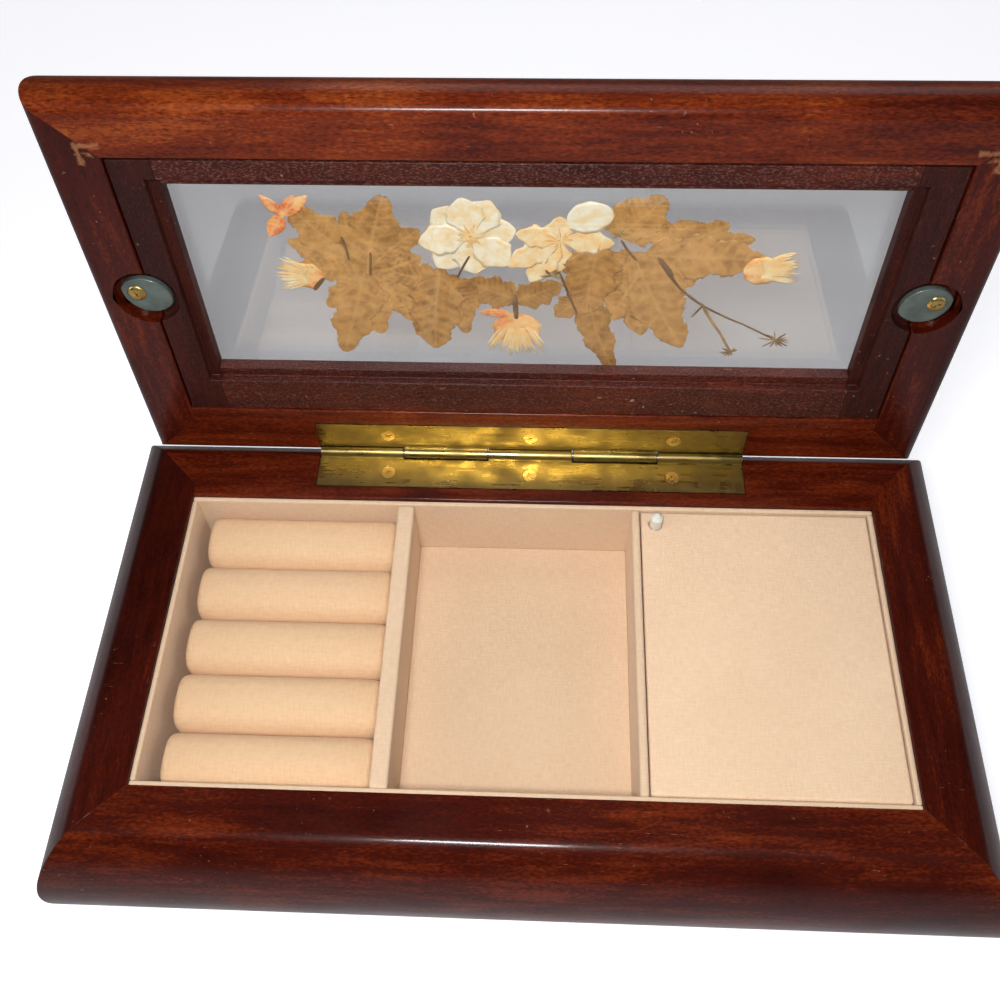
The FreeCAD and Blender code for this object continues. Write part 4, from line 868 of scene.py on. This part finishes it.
def stem_run(sheets, path, width, depth, tint_value):
    """A flattened stem through a few spots, thinner towards its end."""
    for k, (a, b) in enumerate(zip(path, path[1:])):
        start = (a[0] - 0.1 * (b[0] - a[0]), a[1] - 0.1 * (b[1] - a[1]))
        end = (b[0] + 0.1 * (b[0] - a[0]), b[1] + 0.1 * (b[1] - a[1]))
        blade(sheets, start, end, width * (1 - 0.12 * k), depth - 0.002 * k, tint_value,
              blunt=0.18, bend=rng.uniform(-0.03, 0.03), rows=8, across=2)


def plant_material(name, stops, vein_colour, mottle_scale):
    """Dried plant: colour from each sheet's own tint, mottled and fibrous, with its veins."""
    material, tree, surface = new_material(name, Roughness=0.8, Specular_IOR_Level=0.15)
    tint = shade(tree, "Attribute", attribute_name="tint").outputs["Fac"]
    vein = shade(tree, "Attribute", attribute_name="vein").outputs["Fac"]
    place = object_place(tree)
    blotch = noise(tree, place, mottle_scale, detail=4.0)
    fibre = noise(tree, place, mottle_scale * 6, detail=2.0, distortion=1.5)
    level = weighted(tree, (tint, 0.6), (span(tree, blotch, 0.3, 0.7), 0.42),
                     (span(tree, fibre, 0.3, 0.7), 0.22))
    level = math_of(tree, "SUBTRACT", level, 0.12)
    veined = mixed(tree, math_of(tree, "MULTIPLY", vein, 0.45), ramp(tree, level, stops),
                   (*vein_colour, 1.0))
    feed(tree, surface, Base_Color=veined, Normal=bump(tree, fibre, 0.00006, 0.7))
    return material


DRY_LEAF = plant_material(
    "dried_leaf", [(0.12, (0.10, 0.042, 0.010)), (0.38, (0.21, 0.103, 0.028)),
                   (0.62, (0.31, 0.162, 0.050)), (0.88, (0.40, 0.21, 0.074))],
    (0.40, 0.24, 0.093), 380)
DRY_PETAL = plant_material(
    "dried_petal", [(0.10, (0.42, 0.07, 0.02)), (0.32, (0.53, 0.26, 0.085)),
                    (0.56, (0.54, 0.39, 0.19)), (0.85, (0.56, 0.52, 0.41))],
    (0.52, 0.40, 0.20), 420)
DRY_STEM = plant_material(
    "dried_stem", [(0.15, (0.06, 0.03, 0.014)), (0.5, (0.16, 0.09, 0.04)),
                   (0.9, (0.45, 0.33, 0.15))],
    (0.10, 0.05, 0.02), 420)

LEAF_TOOTH = 0.21
LEAVES = [
    (0.15, 0.55, [((-38.4, 5.4), (-51.1, 20.0), 10.4), ((-39.0, 5.4), (-52.7, 11.0), 7.9),
                  ((-38.6, 3.9), (-39.7, 18.9), 7.0), ((-38.0, 3.0), (-46.0, 17.0), 9.0)]),
    (0.10, 0.45, [((-36.7, 1.1), (-30.9, 23.1), 11.8), ((-36.6, 2.5), (-24.1, 14.5), 8.5),
                  ((-35.9, 1.1), (-24.3, 7.0), 7.4)]),
    (0.04, 0.62, [((-37.1, 2.5), (-44.7, -22.3), 10.1), ((-36.7, 1.1), (-46.7, -7.8), 7.0),
                  ((-37.3, 1.1), (-35.2, -16.1), 8.0), ((-38.0, 3.0), (-52.5, 4.2), 6.4)]),
    (0.12, 0.60, [((-37.4, 0.3), (-24.2, -6.9), 10.0), ((-36.0, 1.0), (-27.0, -12.0), 6.0)]),
    (-0.02, 0.38, [((-20.4, 2.8), (-22.7, -20.5), 11.6), ((-19.9, 1.4), (-12.5, -7.8), 8.6),
                   ((-21.0, 1.3), (-26.8, -16.4), 6.4), ((-19.5, 1.0), (-15.0, -15.5), 7.0)]),
    (0.06, 0.32, [((-17.7, -0.1), (-31.0, 2.9), 8.0), ((-18.5, 0.0), (-27.0, -3.5), 5.5)]),
    (0.06, 0.30, [((-3.1, -5.2), (-14.2, 0.6), 8.6)]),
    (0.10, 0.36, [((-3.8, -5.5), (6.6, -0.2), 7.6)]),
    (-0.04, 0.40, [((14.6, 11.0), (12.6, -8.8), 11.6), ((12.4, -1.0), (19.7, -27.0), 7.4),
                   ((12.0, -3.2), (5.6, -9.9), 6.8), ((14.8, 7.6), (6.1, 4.5), 7.8),
                   ((14.0, -6.0), (12.4, -16.0), 5.4)]),
    (0.02, 0.58, [((21.7, 9.1), (35.3, -19.2), 11.6), ((23.7, 3.5), (18.2, -10.7), 9.0),
                  ((23.7, 3.5), (34.1, -3.3), 8.3), ((22.3, 7.7), (25.6, -15.4), 9.4),
                  ((22.0, 9.0), (15.6, 1.5), 7.0)]),
    (0.14, 0.66, [((18.2, 13.1), (27.3, 23.4), 10.6), ((19.8, 13.1), (29.6, 16.2), 7.0),
                  ((18.4, 13.0), (20.0, 22.8), 7.4)]),
    (0.08, 0.50, [((24.2, 8.4), (50.6, 7.4), 11.7), ((26.5, 9.2), (41.2, 16.8), 8.6),
                  ((27.1, 8.5), (35.6, -0.3), 8.2), ((27.0, 9.0), (33.5, 17.4), 7.4),
                  ((30.0, 9.0), (47.2, 12.9), 7.0)]),
]
sheets = new_sheets()
for depth, tint_value, leaflets in LEAVES:
    for k, (base, tip, breadth) in enumerate(leaflets):
        blade(sheets, base, tip, breadth, depth + 0.008 * k, tint_value + rng.uniform(-0.05, 0.05),
              LEAF_TOOTH, 0.62, 0.75, veins=9, bend=rng.uniform(-0.04, 0.04), rows=72, across=16)
keep_sheets("leaf_sheets", "pressed_leaves", "dried_leaf", sheets, DRY_LEAF)

sheets = new_sheets()
WHITE_HEART = (-13.1, 12.9)
WHITE_TIPS = [(-14.9, 23.0), (-8.7, 22.3), (-3.4, 14.8), (-4.8, 5.2), (-12.6, 2.6), (-20.8, 4.2),
              (-24.4, 11.1), (-20.9, 19.8)]
for k, tip in enumerate(WHITE_TIPS):
    blade(sheets, WHITE_HEART, tip, 8.6, -0.06 + 0.014 * (k * 3 % 8), 0.95 - 0.04 * (k % 3), 0.10,
          0.86, 1.20, veins=0, rows=36)
CREAM_HEART = (6.0, 12.2)
for k, (tip, breadth) in enumerate((((-3.4, 13.9), 6.0), ((-5.2, 4.8), 6.4), ((-0.4, 0.5), 6.6),
                                    ((5.8, 18.4), 5.6), ((17.6, 11.4), 6.4), ((5.0, 2.6), 6.0))):
    blade(sheets, CREAM_HEART, tip, breadth, -0.11 + 0.014 * k, 0.66 + 0.05 * (k % 2), 0.18, 0.8,
          1.0, veins=0, rows=36)
blade(sheets, (7.4, 17.0), (17.0, 19.6), 8.2, -0.13, 0.98, 0.03, 0.5, 0.9, rows=26)
for heart, count, tint_value in ((WHITE_HEART, 26, 0.45), (CREAM_HEART, 12, 0.3)):
    for k in range(count):
        turn = 2 * math.pi * k / count + rng.uniform(-0.1, 0.1)
        reach = rng.uniform(1.4, 3.4)
        end = (heart[0] + reach * math.cos(turn), heart[1] + reach * math.sin(turn))
        blade(sheets, heart, end, 0.5, -0.17 + 0.001 * k, tint_value, blunt=0.4, rows=5, across=2)
RED_HEART = (-52.8, 18.1)
for base, tip, breadth in ((RED_HEART, (-56.8, 23.3), 2.6), (RED_HEART, (-56.6, 12.2), 3.8),
                           (RED_HEART, (-46.7, 23.2), 3.6), (RED_HEART, (-49.5, 23.4), 2.6),
                           ((-4.7, -9.2), (-12.1, -8.7), 2.7)):
    blade(sheets, base, tip, breadth, -0.06, 0.03, 0.04, 0.8, veins=6, rows=22)
fringe(sheets, (-46.5, 0.9), (-56.7, 2.2), 9.0, 0.0, 0.50)
fringe(sheets, (-3.5, -9.1), (-3.2, -22.6), 14.0, 0.0, 0.50)
fringe(sheets, (46.1, 3.6), (57.9, 5.8), 9.6, -0.02, 0.52)
keep_sheets("blossom_sheets", "pressed_blossoms", "dried_petal", sheets, DRY_PETAL)

sheets = new_sheets()
for path, width, depth, tint_value in (
    ([(27.8, 7.1), (33.6, -1.4), (38.6, -5.8), (47.8, -11.0), (58.6, -17.4)], 0.75, -0.14, 0.25),
    ([(38.6, -5.8), (43.7, -14.2), (46.9, -20.0)], 0.8, -0.15, 0.8),
    ([(38.6, -5.8), (36.7, -9.1)], 0.5, -0.15, 0.3),
    ([(27.8, 7.1), (30.6, 3.0)], 1.3, -0.16, 0.25),
    ([(-13.8, 7.2), (-16.2, 2.0)], 0.55, -0.18, 0.15),
    ([(-40.9, 12.0), (-40.2, 6.5)], 0.6, -0.12, 0.15),
    ([(-35.2, 7.8), (-35.8, 2.3)], 0.6, -0.12, 0.15),
    ([(6.4, 2.5), (10.1, -8.0)], 0.6, -0.16, 0.15),
    ([(19.3, 12.0), (22.5, 7.4)], 0.6, -0.16, 0.15),
    ([(-48.9, -2.4), (-46.6, 0.6)], 1.1, -0.12, 0.1),
    ([(-3.8, -4.0), (-3.5, -10.1)], 1.3, -0.14, 0.3),
):
    stem_run(sheets, path, width, depth, tint_value)
for heart, count, reach in (((56.6, -16.2), 16, 4.2), ((46.9, -20.2), 14, 3.0),
                            ((4.4, 2.4), 12, 3.0), ((18.4, 14.2), 10, 2.4)):
    for k in range(count):
        turn = rng.uniform(0, 2 * math.pi)
        far = reach * rng.uniform(0.5, 1.0)
        end = (heart[0] + far * math.cos(turn), heart[1] + far * 0.7 * math.sin(turn))
        blade(sheets, heart, end, 0.4, -0.20 + 0.002 * k, rng.uniform(0.4, 1.0), blunt=0.4, rows=5,
              across=2)
keep_sheets("stem_sheets", "pressed_stems", "dried_stem", sheets, DRY_STEM)


# Insert frame: four thinner strips of the same wood, stained darker and left nearly matt, laid
# loose over the glass and butted at the corners.

def insert_material(name, turn, depth, dust):
    """The darker wood of the frame, with fine pale dust in its pores."""
    material, tree, surface = new_material(name, Specular_IOR_Level=0.22, Coat_Weight=0.10,
                                           Coat_Roughness=0.3)
    place = object_place(tree)
    grain = shade(tree, "Mapping", {"Vector": place, "Rotation": turn}).outputs["Vector"]
    wood = place_group(tree, MAHOGANY, {"Grain": grain, "Depth": depth})
    mask = place_group(tree, SCUFFS, {"Place": place, "Amount": 0.9})["Mask"]
    marked = mixed(tree, mask, wood["Colour"], (0.32, 0.20, 0.16, 1))
    grit = span(tree, noise(tree, grain, 1.0, (1500, 3200, 3200), 1.0), 0.50, 0.70, 0.0, dust)
    feed(tree, surface, Base_Color=mixed(tree, grit, marked, (0.30, 0.16, 0.135, 1)),
         Roughness=math_of(tree, "ADD", wood["Roughness"], 0.18),
         Normal=bump(tree, wood["Height"], 0.00006, 0.6))
    return material


# The side strips are stained darker than the front and rear strips by their offset: partly the
# strips' own tone, partly painted shade.
INSERT_FRONT = insert_material("insert_wood_front", ALONG_X, 0.08, 0.30)
INSERT_REAR = insert_material("insert_wood_rear", ALONG_X, 0.06, 0.24)
INSERT_SIDE = insert_material("insert_wood_side", ALONG_Z, 0.16, 0.05)
BEAD_EASE = 0.25 * MM
for side, wood in (("front", INSERT_FRONT), ("rear", INSERT_REAR), ("left", INSERT_SIDE),
                   ("right", INSERT_SIDE)):
    eased_copy(f"insert_{side}_bead", f"insert_{side}_strip", "insert_wood", wood, BEAD_EASE)


# Tabs: two pointed ovals of clouded grey-green plastic in round recesses, turned over the edge
# of the frame and held by a brass cross-headed screw each.

tab_plastic, tree, surface = new_material("clouded_plastic", Subsurface_Weight=0.35,
                                          Subsurface_Scale=0.002, Coat_Weight=0.4,
                                          Coat_Roughness=0.15)
place = object_place(tree)
cloud = noise(tree, place, 240.0, detail=3.0)
fine = noise(tree, place, 1900.0, detail=1.0)
feed(tree, surface, Base_Color=ramp(tree, cloud, [(0.35, (0.055, 0.075, 0.066)),
                                                  (0.65, (0.105, 0.135, 0.120))]),
     Roughness=span(tree, fine, 0.3, 0.7, 0.28, 0.45), Normal=bump(tree, fine, 0.00002, 0.5))
TAB_EASE = 0.35 * MM
for side in ("left", "right"):
    eased_copy(f"{side}_retaining_tab", f"{side}_tab", "tab_plastic", tab_plastic, TAB_EASE)
TAB_HEAD = 2 * MM
TAB_SCREW = [(r * MM, h * MM) for r, h in (
    (0, -7.4), (0.5, -6.4), (1.08, -5.2), (1.08, 0.0), (1.95, 0.05), (2.0, 0.22), (1.75, 0.47),
    (1.1, 0.62), (0, 0.66))]
TAB_RECESS = 0.5 * MM, 2.4 * MM, 0.45 * MM
level = lid_heads("tab_screws") + LID_OUT * TAB_SCREW[-1][1]
cross_headed("tab_screw_heads", "tab_screws",
             [X * x + level for x in screw_middles("tab_screws", 2, TAB_HEAD)],
             -LID_OUT, TAB_SCREW, TAB_RECESS)


# Stage: a wide pale floor under a pale sky, both brightest to the camera, with a soft light near
# the viewer, one to each side and one behind.

FLOOR_HALF = 4.0
form = bmesh.new()
bmesh.ops.create_grid(form, x_segments=8, y_segments=8, size=FLOOR_HALF)
floor_mesh = mesh_of("pale_floor", form)
pale_floor = bpy.data.objects.new("pale_floor", floor_mesh)
scene.collection.objects.link(pale_floor)
paper, tree, surface = new_material("pale_paper", Roughness=0.9, Specular_IOR_Level=0.0)
fine = noise(tree, object_place(tree), 300.0)
feed(tree, surface, Base_Color=ramp(tree, fine, [(0.3, (0.58, 0.58, 0.605)),
                                                 (0.7, (0.61, 0.61, 0.635))]))


def seen_level(tree, camera, glossy, transmission):
    """How bright the background is to each kind of ray that shows it."""
    rays = shade(tree, "LightPath").outputs
    return weighted(tree, (rays["Is Camera Ray"], camera), (rays["Is Glossy Ray"], glossy),
                    (rays["Is Transmission Ray"], transmission))


BACKGROUND = (0.97, 0.97, 1, 1)
glow = shade(tree, "Emission", {"Color": BACKGROUND,
                                "Strength": seen_level(tree, 0.72, 0.036, 0.3024)})
join_shaders(tree, shade(tree, "AddShader"), glow, 0)
floor_mesh.materials.append(paper)

world = bpy.data.worlds.new("studio")
scene.world = world
world.use_nodes = True
sky = world.node_tree
height = parts_of(sky, shade(sky, "TexCoord").outputs["Generated"])["Z"]
fill = span(sky, height, 0.0, 0.75, 0.012, 0.010)
backdrop = sky.nodes["Background"].inputs
backdrop["Color"].default_value = BACKGROUND
feed(sky, backdrop, Strength=math_of(sky, "ADD", fill, seen_level(sky, 0.80, 0.04, 0.80)))


def soft_light(name, place, target, size, power):
    """A flat lamp that faces its target."""
    lamp = bpy.data.lights.new(name, "AREA")
    lamp.shape = "RECTANGLE"
    lamp.size, lamp.size_y = size
    lamp.energy = power
    holder = bpy.data.objects.new(name, lamp)
    scene.collection.objects.link(holder)
    holder.location = place
    holder.rotation_euler = (Vector(target) - Vector(place)).to_track_quat("-Z", "Y").to_euler()


soft_light("near_light", (-0.022, -0.125, 0.30), (0.0, 0.01, 0.05), (0.07, 0.035), 0.80)
soft_light("left_light", (-0.85, -0.25, 0.55), (0.0, 0.0, 0.05), (0.5, 0.8), 2.8)
soft_light("right_light", (0.85, -0.25, 0.55), (0.0, 0.0, 0.05), (0.5, 0.8), 2.15)
soft_light("rear_light", (0.1, 0.95, 0.75), (0.0, 0.05, 0.05), (0.8, 0.5), 1.5)

camera_data = bpy.data.cameras.new("viewer")
camera_data.sensor_width = 36.0
camera_data.lens = 39.16
camera_data.clip_start = 0.01
viewer = bpy.data.objects.new("viewer", camera_data)
viewer.location = (0.00353, -0.11205, 0.26922)
viewer.rotation_euler = (math.radians(33.03), math.radians(1.24), math.radians(2.24))
scene.collection.objects.link(viewer)
scene.camera = viewer
scene.view_settings.view_transform = "Standard"
